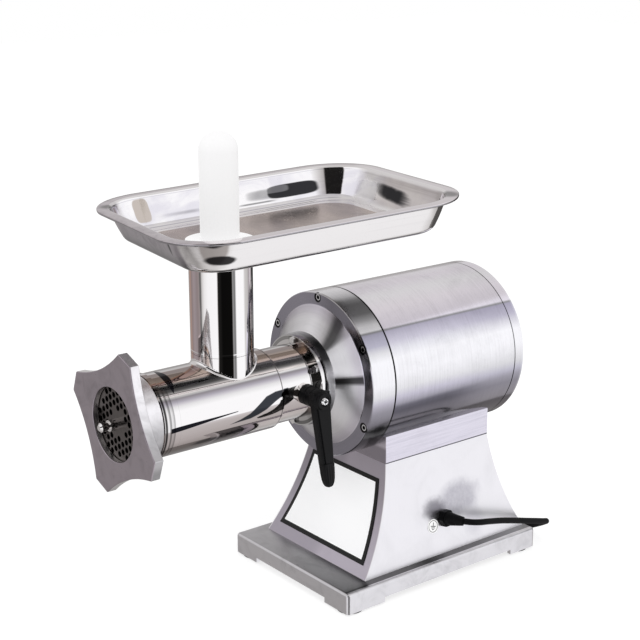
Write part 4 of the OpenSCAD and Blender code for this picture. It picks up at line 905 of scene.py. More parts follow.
def cover_tones(paint, degrees, along, radius):
    """Side, flat rim and cone with their own painted reflections, a dark ring of painted shade around each
    screw, and a painted highlight on the outer lip.
    """
    side = paint.around(degrees, COVER_SIDE)
    rim = paint.times(paint.around(degrees, COVER_RIM), (1.0, 0.97, 1.10))
    sway = (radius - 0.057) * 420
    cone = paint.around(degrees - degrees.band(50, 82, 6) * sway, COVER_CONE)
    cone = paint.times(cone, paint.mix(radius.step(0.062, 0.075), 1.0, (0.80, 0.77, 0.82)))
    tone = paint.mix(radius.step(CONE_R - 0.0002, CONE_R + 0.0002), cone, rim)
    tone = paint.mix(radius.step(COVER_R - 0.0002, COVER_R + 0.0002), tone, side)
    apart = from_screws(paint, degrees, radius)
    ring = apart.band(0.0036, 0.0056, 0.0003) * along.step(FACE + 0.002, FACE + 0.001)
    lip = radius.band(0.0893, 0.0903, 0.0002) * degrees.band(38, 104, 4)
    tone = paint.mix(ring, tone, 0.02)
    return paint.mix(lip * 0.8, tone, 1.0)


def screw_tones(paint, degrees, along, radius):
    """Painted shade as black hexagon sockets, drawn round, in the middle of bright heads."""
    apart = from_screws(paint, degrees, radius)
    return paint.mix(apart.step(0.0025, 0.0021), paint.mix(apart.step(0.0032, 0.0035), 1.0, 0.3), 0.006)


def hub_tones(paint, degrees, along, radius):
    """One ramp of painted reflections around the ring that the barrel is clamped in."""
    return paint.around(degrees, HUB)


dress(turned_aluminium("cover_metal", rough=0.15, lines=0.16, tones=cover_tones, dull=0.16), "front_cover")
dress(turned_aluminium("cover_screw_metal", rough=0.16, tones=screw_tones), "front_cover_screws",
      "rear_cap_screws")
dress(turned_aluminium("hub_metal", rough=0.3, tones=hub_tones), "hub_ring")
dress(turned_aluminium("gear_plate_metal", (0.74, 0.73, 0.75), 0.2), "gear_plate", "rotor_bearings",
      "countershaft_bearings", "output_bearings", "stator_core", "rotor_core")
print("turned parts done")

# %% [markdown]
# ## Polished steel
# The barrel, the tubes, the shafts and the tray are stainless steel with a mirror polish. A perfect mirror
# looks like glass, so the polish is disturbed: a slow wave bends the reflections, smudges dull them and a
# few hair scratches cross them. The waves are a bump and the smudges only change the roughness and a little
# of the tone.


# %% A maker of polished steel
def smudges(paint):
    """Cloudy finger marks."""
    return paint.noise(paint.place(), 30.0, 5.0, 0.6, 0.5)


def polish_waves(paint, strength):
    """The slow waves that polishing leaves, as a bump."""
    return paint.bump(paint.noise(paint.place(), 22.0, 1.0, 0.3), strength, 0.0012)


def polished_steel(name, tone=(0.90, 0.885, 0.875), rough=0.035):
    """A mirror with faint waves, smudges, and hair scratches where a stretched noise crosses its middle."""
    paint = Paint(name)
    smudge = smudges(paint)
    streak = paint.noise(paint.place(scale=(60, 4, 60), turn=(0.3, 0.5, 0.2)), 3.0, 2.0, 0.4, 0.6)
    hair = (streak - 0.5).abs().step(0.012, 0.0)
    return paint.shade(
        Base_Color=paint.mix(smudge.step(0.5, 0.85) * 0.18, tone, darker(0.6, tone)), Metallic=1.0,
        Roughness=smudge.step(0.55, 0.8) * 0.05 + hair * 0.05 + rough, Normal=polish_waves(paint, 0.25))


dress(polished_steel("weld_steel"), weld)
dress(polished_steel("bolt_steel", (1.0, 0.99, 0.98), rough=0.30), "socket_bolts")
dress(polished_steel("screw_steel", rough=0.08), "lever_stud", "auger", "knife", "rotor_shaft",
      "countershaft", "output_shaft", "plate_key", "cover_screws")
print("plain steel done")

# %% [markdown]
# ### The feed tube
# A bright upright pipe. Its sides mirror warm tones from the room in narrow upright bands, painted on as a
# ramp that runs around the tube's own line, and a thin pale ring low down, a painted highlight, marks the
# weld.

# %% Tones of the feed tube
STEEL = (0.97, 0.955, 0.945)
TUBE = [
    (-180, 0.8), (-125, 0.8), (-116, (0.95, 0.85, 0.83)), (-110, (0.66, 0.5, 0.43)),
    (-104, (0.8, 0.52, 0.42)), (-99, (0.55, 0.44, 0.44)), (-93, (0.75, 0.64, 0.68)),
    (-86, (0.75, 0.66, 0.70)), (-80, (0.72, 0.62, 0.64)), (-77, (0.8, 0.7, 0.72)), (-75, 0.45),
    (-73.5, 0.10), (-72, 0.5), (-70, 1.0), (-40, 1.0), (-36, 0.9), (-33, 0.3), (-14, 0.35), (-9, 0.12),
    (-7.5, 1.0), (15, 1.0), (20, 0.95), (24, (0.7, 0.66, 0.70)), (31, (0.8, 0.76, 0.76)), (34, 0.35),
    (40, 0.12), (46, 0.3), (50, 0.9), (60, 0.9), (180, 0.8)]
TUBE_SEAM = (0.2916, 0.2928)


def tube_place(paint):
    """Degrees around the feed tube, 0 towards +X and 90 towards +Y, and the height."""
    x, y, z = paint.axes(paint.place((0, FEED_Y, 0)))
    return y.turn_with(x) * DEGREES, z


def tube_steel():
    """Polished feed tube whose painted reflections run up it, ragged on the outlet side, with a painted
    highlight on the welded seam low down.
    """
    paint = Paint("tube_steel")
    degrees, z = tube_place(paint)
    streak = paint.noise(paint.vector(degrees * 0.1, z * 16, 0.0), 1.0, 4.0, 0.6, 0.4)
    ragged = degrees + (streak - 0.5) * degrees.step(-68, -78) * 9
    tone = paint.times(STEEL, paint.around(ragged, TUBE))
    tone = paint.mix(z.band(*TUBE_SEAM, 0.0002) * 0.8, tone, 1.0)
    return paint.shade(Base_Color=tone, Metallic=1.0, Roughness=streak.step(0.5, 0.8) * 0.05 + 0.03,
                       Normal=polish_waves(paint, 0.2))


dress(tube_steel(), "tray_tube")
print("feed tube has", len(TUBE), "stops")

# %% [markdown]
# ### The barrel and its socket
# The barrel's tones are painted reflections in bands that lie along it, as a mirrored room would show. Over
# them go the marks that catch the eye: a dark line that widens towards the outlet, two dark patches low down,
# a sickle beside the ring, the black lick that curls up in front of the clamp, and the turned beads at the
# mouth. All but the beads are painted reflections; the beads are painted highlights and shade along their
# ridges. Each is a mask worked out from the angle and the distance along the barrel, so each can be moved by
# itself.

# %% Stops along and around the barrel
BARREL = [
    (-180, 0.8), (-60, 0.6), (-52, 0.44), (-41, (0.40, 0.37, 0.355)), (-34, (0.50, 0.455, 0.445)),
    (-22, (0.50, 0.455, 0.445)), (-9, (0.58, 0.54, 0.53)), (-5.5, (0.62, 0.58, 0.58)), (-4.5, 1.0),
    (19, 1.0), (25, 0.82), (28, (0.64, 0.62, 0.66)), (31, (0.45, 0.43, 0.48)), (35.5, (0.27, 0.25, 0.27)),
    (37.5, 0.45), (38.5, 1.0), (42.5, (1.0, 0.95, 0.93)), (44.5, 0.30), (48, 0.09), (56, 0.035), (58, 0.2),
    (60, (0.8, 0.68, 0.62)), (67, (0.7, 0.58, 0.5)), (73, (0.5, 0.42, 0.37)), (80, (0.36, 0.32, 0.31)),
    (86, (0.36, 0.30, 0.29)), (89, 0.85), (97, 0.42), (103, 0.9), (150, 0.9), (180, 0.8)]
SOCKET = [
    (-180, 0.48), (-110, 0.40), (-85, 0.36), (-70, 0.42), (-50, 0.38), (-42, 0.8), (-20, 1.0), (52, 1.0),
    (58, 0.35), (64, 0.35), (70, 1.0), (82, 0.85), (90, 0.5), (140, 0.48), (180, 0.48)]
LICK_UPPER = [
    (-0.25, 0.19), (-0.245, 0.2), (-0.232, 0.27), (-0.2206, 0.36), (-0.2108, 0.507), (-0.2002, 0.667),
    (-0.1883, 0.727), (-0.1747, 0.733), (-0.16, 0.74)]
LICK_LOWER = [
    (-0.25, 0.19), (-0.245, 0.2), (-0.2198, 0.225), (-0.2102, 0.278), (-0.2005, 0.357), (-0.1894, 0.498),
    (-0.1829, 0.562), (-0.1756, 0.565), (-0.16, 0.56)]
BEADS = [
    (-0.3250, 0.10), (-0.3243, 0.04), (-0.3236, 0.9), (-0.3228, 0.8), (-0.3222, 0.05), (-0.3205, 0.08),
    (-0.3196, 0.9), (-0.3182, 0.9), (-0.3172, 0.45), (-0.3150, 0.35), (-0.3138, 0.9), (-0.3120, 0.7),
    (-0.3108, 0.4), (-0.3098, 1.0), (-0.3090, 1.0)]
print("barrel has", len(BARREL), "stops")


# %% Marks on the barrel, each a mask from 0 to 1
def dark_line(degrees, along):
    """A line that climbs by 58 degrees for each metre towards the rear and widens towards the outlet."""
    away = (degrees + 5.2 - (along + 0.314) * 58).abs() - (along.step(-0.225, -0.315) * 3.0 + 0.35)
    return away.step(0.25, -0.1) * along.band(-0.3155, -0.236, 0.001)


def low_patches(paint):
    """Two flat ragged blots low on the side."""
    front = paint.blot((0.0335, -0.268, 0.2105), (0.006, 0.017, 0.0028), (0, 0, 0), 0.4, 0.9, 120.0)
    rear = paint.blot((0.0352, -0.233, 0.2125), (0.006, 0.014, 0.0024), (0.05, 0, 0), 0.25, 0.6, 120.0)
    return front.larger(rear)


def ring_sickle(degrees, along, streak):
    """A sickle beside the ring: its width and its bow follow 1 minus the squared angle from 71 degrees."""
    lens = (1 - ((degrees - 71) * (1 / 28)) ** 2).larger(0.0)
    away = (along + 0.3040 - lens * 0.0016).abs() - lens * 0.0042
    return away.step(0.0002, -0.0003) * (0.97 - streak.step(0.62, 0.7) * 0.25)


def clamp_lick(paint, degrees, along):
    """Between two edges on a height that is 0 at -30 and 1 at 30 degrees; each edge is a ramp."""
    upper_edge = paint.ramp(along, -0.25, -0.16, LICK_UPPER)
    lower_edge = paint.ramp(along, -0.25, -0.16, LICK_LOWER)
    height = degrees * (1 / 60) + 0.5
    below, above = (height - upper_edge).step(0.012, -0.012), (height - lower_edge).step(-0.012, 0.012)
    return below * above * along.band(-0.245, -0.170, 0.001)


def clamp_seams(degrees, along):
    """Thin lines at both ends of the clamp."""
    rear = along.band(-0.1405, -0.1392, 0.0003) * degrees.step(-20, 0)
    return along.band(-0.1797, -0.1785, 0.0003).larger(rear)


print("barrel marks ready")


# %% Barrel steel
def barrel_steel():
    """The painted reflections around the axis with the painted marks over them; the socket and the feed stub
    have their own painted reflections.
    """
    paint = Paint("barrel_steel")
    angle, along, radius = turned_place(paint)
    degrees = angle * DEGREES
    streak = paint.noise(paint.vector(degrees * 0.16, along * 7, 0.0), 1.0, 4.0, 0.6, 0.6)
    upper, lower = degrees.step(40, 52), degrees.step(-4, -14)
    shifted = degrees + (streak - 0.5) * (upper * 9 + lower * 5)
    tone = paint.times(STEEL, paint.around(shifted, BARREL))
    # Towards the outlet, painted reflections darken the upper side and turn the top grey.
    near = (degrees * 0.0009 + along).step(-0.266, -0.270) * degrees.step(-8, 8)
    tone = paint.mix(near * 0.45 * upper * degrees.step(80, 74), tone, (0.10, 0.075, 0.065))
    tone = paint.mix(near * degrees.step(74, 80), tone, (0.80, 0.74, 0.74))
    tone = paint.mix(low_patches(paint) * 0.85, tone, (0.045, 0.042, 0.05))
    drawn = dark_line(degrees, along).larger(ring_sickle(degrees, along, streak))
    tone = paint.mix(drawn, tone, (0.012, 0.012, 0.016))
    tone = paint.mix(clamp_lick(paint, degrees, along) * 0.97, tone, (0.016, 0.02, 0.028))
    # The turned beads at the mouth are painted highlights and shade along their ridges.
    beads = paint.ramp(along, BEADS[0][0], BEADS[-1][0], BEADS)
    tone = paint.times(tone, paint.mix(along.step(-0.3092, -0.3096) * degrees.step(60, 40), 1.0, beads))
    tone = paint.mix(clamp_seams(degrees, along) * 0.85, tone, (0.11, 0.10, 0.10))

    # The socket has its own painted reflections, and a painted highlight runs around its brim.
    wide = radius.step(0.0443, 0.0447) * along.step(-0.1782, -0.1778)
    tone = paint.mix(wide, tone, paint.times(tone, paint.around(degrees, SOCKET)))
    brim = (radius - 0.0488).abs().step(0.0007, 0.0004) * wide
    tone = paint.mix(brim * 0.7, tone, 0.9)

    # The feed stub takes the tube's painted reflections, with painted shade in a dark band just under the
    # tube's seam.
    stub = radius.step(0.0436, 0.0440) * along.step(-0.188, -0.190) * along.step(-0.262, -0.260)
    round_tube, height = tube_place(paint)
    stub_tone = paint.times(STEEL, paint.around(round_tube, TUBE))
    stub_tone = paint.times(stub_tone, paint.mix(height.band(0.2903, TUBE_SEAM[0], 0.0002), 1.0, 0.06))
    tone = paint.mix(stub, tone, stub_tone)
    smudge = smudges(paint)
    return paint.shade(
        Base_Color=paint.mix(smudge.step(0.6, 0.9) * 0.12, tone, (0.5, 0.48, 0.47)), Metallic=1.0,
        Roughness=smudge.step(0.55, 0.8) * 0.05 + 0.03, Normal=polish_waves(paint, 0.2))


dress(barrel_steel(), "barrel", "head_socket")
print("barrel done")

# %% [markdown]
# ### The tray
# The tray's polished walls would mirror dark things in a workshop as smears. This plain studio has nothing
# of that kind, so the smears are painted on as tones. A painted picture could be wrapped around the pan,
# but every mark here is a formula of three lengths: across, along and up from the feed hole, level with the
# tray's own floor. Walls and floor are told apart by those too.


# %% Places on the tray
class TrayPaint(Paint):
    """A material that knows its place on the tray and its walls: left, right, near the outlet and far."""

    def __init__(self, name):
        super().__init__(name)
        turned = self.place((0, FEED_Y, TRAY_FLOOR_Z), turn=(0, 0, -TRAY_TURN))
        self.level = self.node("ShaderNodeMapping", {}, Vector=turned, Rotation=(-TRAY_TILT, 0.0, 0.0))
        self.across, self.along, self.up = self.axes(self.level)
        self.left, self.right = self.across.step(-0.085, -0.095), self.across.step(0.088, 0.096)
        self.near, self.far = self.along.step(-0.062, -0.070), self.along.step(0.195, 0.203)
        self.wall = self.up.band(0.004, 0.033, 0.002)
        self.drawn = self.noise(self.vector(self.across * 14, self.along * 9, self.up * 420), 1.0, 2.0, 0.5)
        self.marks = self.noise(self.level, 130.0, 4.0, 0.65, 0.4)
        flat = self.inside(0.034, 0.0865, 0.1235).step(0.0004, -0.0004)
        self.flat = flat * self.up.step(0.0050, 0.0042) * self.up.step(0.0006, 0.0009)

    def inside(self, corner, half_across, half_along):
        """How far outside a rounded rectangle around the tray's middle; below 0 is inside."""
        over = (self.across.abs() - (half_across - corner)).larger(0.0)
        beyond = ((self.along - TRAY_BACK).abs() - (half_along - corner)).larger(0.0)
        return (over ** 2 + beyond ** 2).sqrt() - corner

    def oval(self, u, v, half_u, half_v, soft=0.3, ragged=0.15):
        """1 inside a squarish oval of two flows, from the sum of their 4th powers."""
        edge = (self.noise(self.level, 110.0, 3.0, 0.6) - 0.5) * ragged
        total = (u * (1 / half_u)) ** 4 + (v * (1 / half_v)) ** 4
        return (total + edge).step(1 + soft, 1 - soft)


print("tray is tilted by", round(math.degrees(TRAY_TILT), 1), "degrees")

# %% [markdown]
# ### Marks on the tray
# Each mark takes the tone so far and gives it back with the mark laid over, as coats of paint would be. They
# could be one long sum of masks, but then no mark could be moved or left out by itself.


# %% What lies on the tray, each mark laid over the tone so far
def bare_sheet(tray):
    """Bright sheet with fine marks, and faint drawing lines on its walls."""
    depth = tray.marks.step(0.6, 0.85) * 0.12 + tray.drawn.step(0.5, 0.75) * tray.wall * 0.05
    return tray.mix(depth, (0.99, 0.975, 0.97), (0.5, 0.48, 0.48))


def far_walls(tray, tone):
    """Painted reflections: a bluish veil on the left and far walls, and dark lines along the bends and a grey
    band on the left one.
    """
    cloud = tray.noise(tray.vector(tray.across * 20, tray.along * 20, tray.up * 34), 1.0, 3.0, 0.55, 0.8)
    veil = cloud.step(0.36, 0.66) * tray.left.larger(tray.far) * tray.wall
    tone = tray.mix(veil * 0.5, tone, (0.62, 0.60, 0.70))
    lines = tray.up.band(0.0026, 0.0034, 0.0004).larger(tray.up.band(0.0326, 0.0334, 0.0003) * 0.6)
    tone = tray.mix(lines * tray.left * 0.6, tone, (0.36, 0.34, 0.42))
    band = tray.up.band(0.0105, 0.0135, 0.0012) * tray.along.step(-0.03, 0.02) * tray.along.step(0.04, 0.02)
    return tray.mix(band * tray.left * 0.6, tone, (0.30, 0.29, 0.32))


def tray_floor(tray, tone):
    """Painted reflections: the floor mirrors warm tones in soft stripes, and the far wall picks them up."""
    soft = tray.noise(tray.vector(tray.across * 9, tray.along * 22, 0.0), 1.0, 3.0, 0.5)
    floor_tone = tray.mix(soft.step(0.35, 0.7), (0.62, 0.53, 0.48), (0.42, 0.365, 0.34))
    floor_tone = tray.mix(tray.across.step(0.0, 0.08) * 0.4, floor_tone, (0.62, 0.54, 0.50))
    tone = tray.mix(tray.flat, tone, floor_tone)
    return tray.mix(tray.far * tray.wall * tray.across.step(-0.05, -0.02) * 0.6, tone, (0.70, 0.64, 0.61))


def dark_painted_reflections(tray, tone):
    """Painted dark reflections: a blunt smear with a tail on the left, a comet on the far wall, dark corners,
    and a brown patch on the left wall.
    """
    across, along, up, left, far = tray.across, tray.along, tray.up, tray.left, tray.far
    smear = tray.oval(along - 0.1455, up - 0.0165, 0.0325, 0.0068) * left
    thin = up.band(0.0078, 0.0094, 0.0006) * along.band(0.078, 0.120, 0.008) * left * 0.7
    tail = tray.oval(along - 0.112, up - 0.0160, 0.022, 0.0048, 1.2, 0.8) * left * 0.55
    pale = tray.oval(along - 0.125, up - 0.0195, 0.016, 0.0035, 0.6, 0.5) * left
    leaning, rising = across + 0.006 - (0.0165 - up) * 0.6, up - 0.0165 + across * 0.06
    comet = tray.oval(leaning, rising, 0.031, 0.0068, 0.9, 0.8) * far
    comet = comet * (1 - across.step(0.004, 0.030) * (0.5 + tray.drawn.step(0.4, 0.6) * 0.5))
    tips = tray.blot((-0.0975, -0.2945, 0.4285), (0.0085, 0.0085, 0.012), (0, 0, 0), 0.5, 0.3)
    tips = tips.larger(tray.blot((0.125, -0.030, 0.442), (0.014, 0.012, 0.012), (0, 0, 0), 0.5, 0.3))
    brown = tray.oval(along + 0.0350 + (up - 0.02) * 0.12, up - 0.0205, 0.0090, 0.0120, 0.25, 0.3) * left
    tone = tray.mix(brown, tone, (0.58, 0.52, 0.47))
    tone = tray.mix(tips * 0.85, tone, (0.05, 0.045, 0.04))
    whole = (smear - pale * 0.16).larger(thin).larger(tail).larger(comet)
    return tray.mix(whole * 0.98, tone, (0.016, 0.016, 0.019))


NEAR_WALL = [
    (0.0, 0.04), (0.0035, 0.06), (0.008, (0.26, 0.25, 0.27)), (0.015, (0.42, 0.40, 0.43)),
    (0.028, (0.52, 0.49, 0.53)), (0.0325, (0.56, 0.54, 0.58)), (0.0335, 0.10), (0.0342, 1.0), (0.036, 1.0)]


def near_wall(tray, tone):
    """Painted reflections darken the outlet side's wall towards the floor, and it is mottled darker; its
    right corner has a brown painted reflection.
    """
    front = tray.near * (tray.across - 0.078).step(0.003, -0.003)
    tone = tray.times(tone, tray.mix(front, 1.0, tray.ramp(tray.up, 0.0, 0.036, NEAR_WALL)))
    mottled_dark = tray.noise(tray.level, 46.0, 5.0, 0.7, 1.0).step(0.40, 0.72) * tray.near * (1 - tray.flat)
    tone = tray.mix(mottled_dark * 0.5, tone, tray.times(tone, (0.42, 0.40, 0.43)))
    corner = tray.blot((0.1035, -0.3015, 0.418), (0.017, 0.0145, 0.030), (0, 0, 0.72), 0.12, 0.1)
    tone = tray.mix(corner * tray.up.step(0.034, 0.032) * 0.75, tone, (0.34, 0.30, 0.28))
    # Dark painted reflections: two blots near the right corner and a thin streak, fold, further along the
    # wall.
    blob = tray.blot((0.1035, -0.302, 0.4270), (0.014, 0.008, 0.0040), (0, 0, 0.72), 0.25, 0.4)
    blob = blob.larger(tray.blot((0.0975, -0.290, 0.4108), (0.0155, 0.010, 0.0050), (0, 0, 0.85), 0.2, 0.3))
    fold = tray.blot((0.0475, -0.3135, 0.4185), (0.0022, 0.006, 0.011), (0, 0.12, 0), 0.3, 0.7, 200.0)
    return tray.mix(blob.larger(fold) * 0.97, tone, (0.014, 0.013, 0.015))


FOOT = [
    (-0.001, 0.10), (0.0004, 0.12), (0.0009, 0.8), (0.0015, 0.75), (0.0021, 0.03), (0.0031, 0.03),
    (0.0037, 1.0), (0.006, 1.0)]


def foot_and_rim(tray, tone):
    """Painted shade in two dark lines along the foot of the right and near walls, a flange with painted
    reflections that are greyer on the near and left sides, and painted shade on the folded rim.
    """
    foot = tray.ramp(tray.up, FOOT[0][0], FOOT[-1][0], FOOT)
    beyond = tray.inside(0.030, 0.086, 0.122).step(-0.001, 0.001)
    outer = tray.right.larger(tray.near) * (1 - tray.flat) * beyond
    tone = tray.times(tone, tray.mix(outer, 1.0, foot))
    rim = tray.inside(0.064, 0.129, 0.1655).step(-0.0006, -0.0002) * tray.up.step(0.0356, 0.0352)
    flange = tray.up.step(0.0347, 0.0352) * tray.inside(0.054, 0.118, 0.1545).step(-0.0005, 0.0005)
    grey = tray.mix(tray.near.larger(tray.left) * 0.8, (0.86, 0.83, 0.85), (0.62, 0.58, 0.61))
    tone = tray.mix(flange, tone, tray.times(tone, grey))
    return tray.mix(rim * 0.7, tone, (0.22, 0.21, 0.24))


print("tray marks ready")


# %% Tray steel
def tray_steel():
    """The bare sheet with its marks, painted reflections and shade laid over it, rougher on the floor and in
    one far patch.
    """
    tray = TrayPaint("tray_steel")
    tone = bare_sheet(tray)
    for laid_over in (far_walls, tray_floor, dark_painted_reflections, near_wall, foot_and_rim):
        tone = laid_over(tray, tone)
    wobble = tray.noise(tray.level, 16.0, 2.0, 0.4)
    dull_patch = tray.oval(tray.across + 0.058, tray.up - 0.012, 0.019, 0.012) * tray.far
    return tray.shade(
        Base_Color=tone, Metallic=1.0,
        Roughness=tray.marks.step(0.5, 0.8) * 0.08 + tray.flat * 0.18 + dull_patch * 0.4 + 0.05,
        Normal=tray.bump(wobble + tray.drawn * 0.12, 0.35, 0.0016))


dress(tray_steel(), tray_pan)
print("tray done")

# %% [markdown]
# ## Plate and cast metal
# The pedestal, the neck and the base are satin plate, wiped and handled, with fine brushing across them.
# The same maker serves all of them: clouds and brushing darken a tone, and a function may darken chosen
# places, such as a front that faces away from the light or the shade that the pedestal throws on the base.


# %% A maker of plate metal
def plate_metal(name, tone, rough, cloud_depth, scale=16.0, tones=None):
    """Satin plate with cloudy wiping marks and fine brushing, times what the function tones gives."""
    paint = Paint(name)
    cloud = paint.noise(paint.place(), scale, 5.0, 0.62, 1.2)
    fine = paint.noise(paint.place(scale=(1, 14, 1)), 60.0, 4.0, 0.7)
    depth = cloud.step(0.42, 0.8) * cloud_depth + (fine - 0.5) * 0.10
    colour = paint.mix(depth, tone, darker(0.4, tone))
    if tones:
        colour = paint.times(colour, tones(paint, *paint.axes(paint.place())))
    return paint.shade(
        Base_Color=colour, Metallic=1.0,
        Roughness=cloud * 0.12 + fine * 0.06 + (rough - 0.09), Normal=paint.bump(fine, 0.06, 0.0005))


for name, tone, rough, cloud_depth, scale, pieces in (
        ("cover_sheet", (0.80, 0.79, 0.81), 0.30, 0.26, 16.0, ["bottom_cover"]),
        ("plate_steel", (0.15, 0.135, 0.13), 0.30, 0.40, 60.0, ["grinding_plate"]),
        ("gear_metal", (0.55, 0.55, 0.57), 0.35, 0.20, 16.0, ["output_gear", "countershaft_gear"]),
        ("clip_steel", (0.7, 0.7, 0.7), 0.30, 0.20, 16.0, ["capacitor_clip"]),
        ("pin_brass", (0.85, 0.7, 0.4), 0.25, 0.15, 16.0, ["plug_pins"])):
    dress(plate_metal(name, tone, rough, cloud_depth, scale), *pieces)
print("plain plate done")

# %% [markdown]
# ### The pedestal and the neck
# The pedestal is bent plate that slants inwards on its way up. Its front carries painted shade, darker than
# its sides, which sets the two apart under the soft lamps. Where the cord's boot enters its side, a grey
# cloud darkens it. The neck between pedestal and housing is brushed; its front carries painted shade, and a
# dark crease of painted shade runs along its foot.

# %% Pedestal and neck
SLANT, FOOT_HALF = 0.1983, 0.0931


def pedestal_tones(paint, x, y, z):
    """Painted shade on the front, darker than the sides; a grey cloud, its trace and a dark haze lie beside
    the cord's boot.
    """
    front = (x.abs() + z * SLANT - FOOT_HALF).step(-0.0005, -0.0013) * y.step(-0.05, -0.056)
    tone = paint.mix(front, 1.0, paint.mix(x.step(-0.01, 0.01), (0.52, 0.49, 0.54), (0.66, 0.62, 0.68)))
    cloud = paint.blot((0.075, 0.039, 0.081), (0.02, 0.030, 0.018), (0.15, 0, 0), 0.4, 0.6, 60.0)
    trace = paint.blot((0.080, 0.060, 0.052), (0.02, 0.013, 0.017), (0.3, 0, 0), 0.6, 0.9, 80.0)
    haze = paint.blot((0.078, 0.004, 0.078), (0.02, 0.014, 0.010), (0, 0, 0), 0.6, 1.0, 90.0)
    speckle = paint.noise(paint.place(), 260.0, 4.0, 0.7)
    tone = paint.mix(trace * 0.3, tone, (0.45, 0.44, 0.50))
    tone = paint.mix(cloud * (0.3 + speckle * 0.4), tone, (0.30, 0.29, 0.35))
    return paint.mix(haze * 0.8, tone, (0.22, 0.21, 0.24))


def saddle_tones(paint, x, y, z):
    """Brushed neck: a front in painted shade, greyer than the paler side, which has a dark crease line of
    painted shade along its foot.
    """
    drawn = paint.noise(paint.vector(x * 40, y * 12, z * 520), 1.0, 3.0, 0.6)
    side = paint.mix(drawn.step(0.42, 0.7) * 0.3, (0.84, 0.82, 0.89), (0.55, 0.54, 0.62))
    side = paint.mix(z.step(0.1436, 0.1430) * 0.9, side, (0.06, 0.06, 0.07))
    front = paint.mix(z.step(0.157, 0.162), (0.43, 0.40, 0.44), (0.78, 0.74, 0.80))
    return paint.mix(y.step(-0.0572, -0.0578), side, front)


SATIN = (0.93, 0.92, 0.945)
dress(plate_metal("pedestal_metal", SATIN, 0.32, 0.10, tones=pedestal_tones), "pedestal")
dress(plate_metal("saddle_metal", SATIN, 0.24, 0.10, tones=saddle_tones), "neck_saddle")
print("pedestal and neck done")

# %% [markdown]
# ### The base and the ring nut
# The base's flat top mirrors the pedestal, so its painted reflections are dull all around its foot and bright
# only at the lip. The ring nut's face is satin and even, while the facets around its edge each catch another
# part of the room in painted reflections.

# %% Base and ring
BASE_TOP = 0.0254
BESIDE = [
    (-0.15, 0.25), (-0.11, 0.22), (-0.05, 0.17), (-0.02, 0.06), (0.004, 0.12), (0.01, 0.2), (0.06, 0.2),
    (0.09, 0.27), (0.15, 0.36)]
AHEAD = [
    (-0.1, 0.68), (-0.06, 0.6), (-0.01, 0.5), (0.02, 0.38), (0.088, 0.27), (0.094, 0.2), (0.0962, 0.04),
    (0.0975, 0.05), (0.0988, 0.6), (0.1, 1.0)]
RING_EDGE = [
    (-180, 0.9), (-140, 1.1), (-104, 1.25), (-86, 1.6), (-80, 0.75), (-60, 0.7), (-34, 0.45), (-24, 0.34),
    (-16, 0.55), (0, 0.56), (9, 0.72), (17, 0.9), (26, 1.0), (56, 1.0), (61, 0.95), (65, 1.0), (100, 0.85),
    (130, 0.8), (142, 1.5), (160, 1.2), (180, 0.9)]


def base_tones(paint, x, y, z):
    """Painted reflections: the top is dull around the pedestal's foot, darkest beside it, and bright along
    the right-hand lip.
    """
    beside = paint.ramp(y, BESIDE[0][0], BESIDE[-1][0], BESIDE)
    beside = paint.mix(x.step(0.0972, 0.0980), beside, 1.0)
    ahead = paint.ramp(x, AHEAD[0][0], AHEAD[-1][0], AHEAD)
    top = paint.mix(y.step(-0.106, -0.112), paint.mix(x.step(-0.02, 0.02), 0.6, beside), ahead)
    return paint.mix(z.step(BASE_TOP - 0.0002, BASE_TOP + 0.0002), 1.0, top)


def ring_tones(paint, x, y, z):
    """Satin face, with painted highlights on the facets around the edge towards the light."""
    facets = paint.around((z - AXIS_Z).turn_with(x) * DEGREES, RING_EDGE)
    return paint.mix(y.step(-0.3548, -0.3553), facets, (0.50, 0.455, 0.49))


dress(plate_metal("base_metal", (0.80, 0.79, 0.81), 0.30, 0.30, 30.0, base_tones), base_plate)
dress(plate_metal("ring_metal", (1.0, 0.985, 1.0), 0.30, 0.36, 45.0, ring_tones), ring_nut)
print("base and ring done")

# %% [markdown]
# ## Plastics and rubber
# Levers, feet, cord, buttons and the pusher are moulded. Moulded parts are almost even in colour, so a
# little grain in the bump and faint handling marks in the roughness are what stop them from looking
# computed. Very dark parts get a low mirror strength, since a white studio would turn them grey. The white
# pusher glows a little, so that its shaded side doesn't turn grey either.


# %% A maker of mouldings
def moulded(name, tone, rough, mirror=0.5, speck=0.12, lift=0.0):
    """Moulded plastic or rubber with a fine grain and faint handling marks; lift is a faint white glow."""
    paint = Paint(name)
    grain = paint.noise(paint.place(), 700.0, 3.0, 0.6)
    marks = paint.noise(paint.place(), 40.0, 4.0, 0.6, 0.5)
    shift = (marks - 0.5) * speck + (grain - 0.5) * speck * 0.5 + 0.5
    return paint.shade(
        Base_Color=paint.mix(shift, darker(0.8, tone), tuple(min(1.0, part) for part in darker(1.2, tone))),
        Roughness=marks * 0.15 + (rough - 0.07), Normal=paint.bump(grain, 0.08, 0.0003),
        Specular_IOR_Level=mirror, Emission_Color=1.0, Emission_Strength=lift)


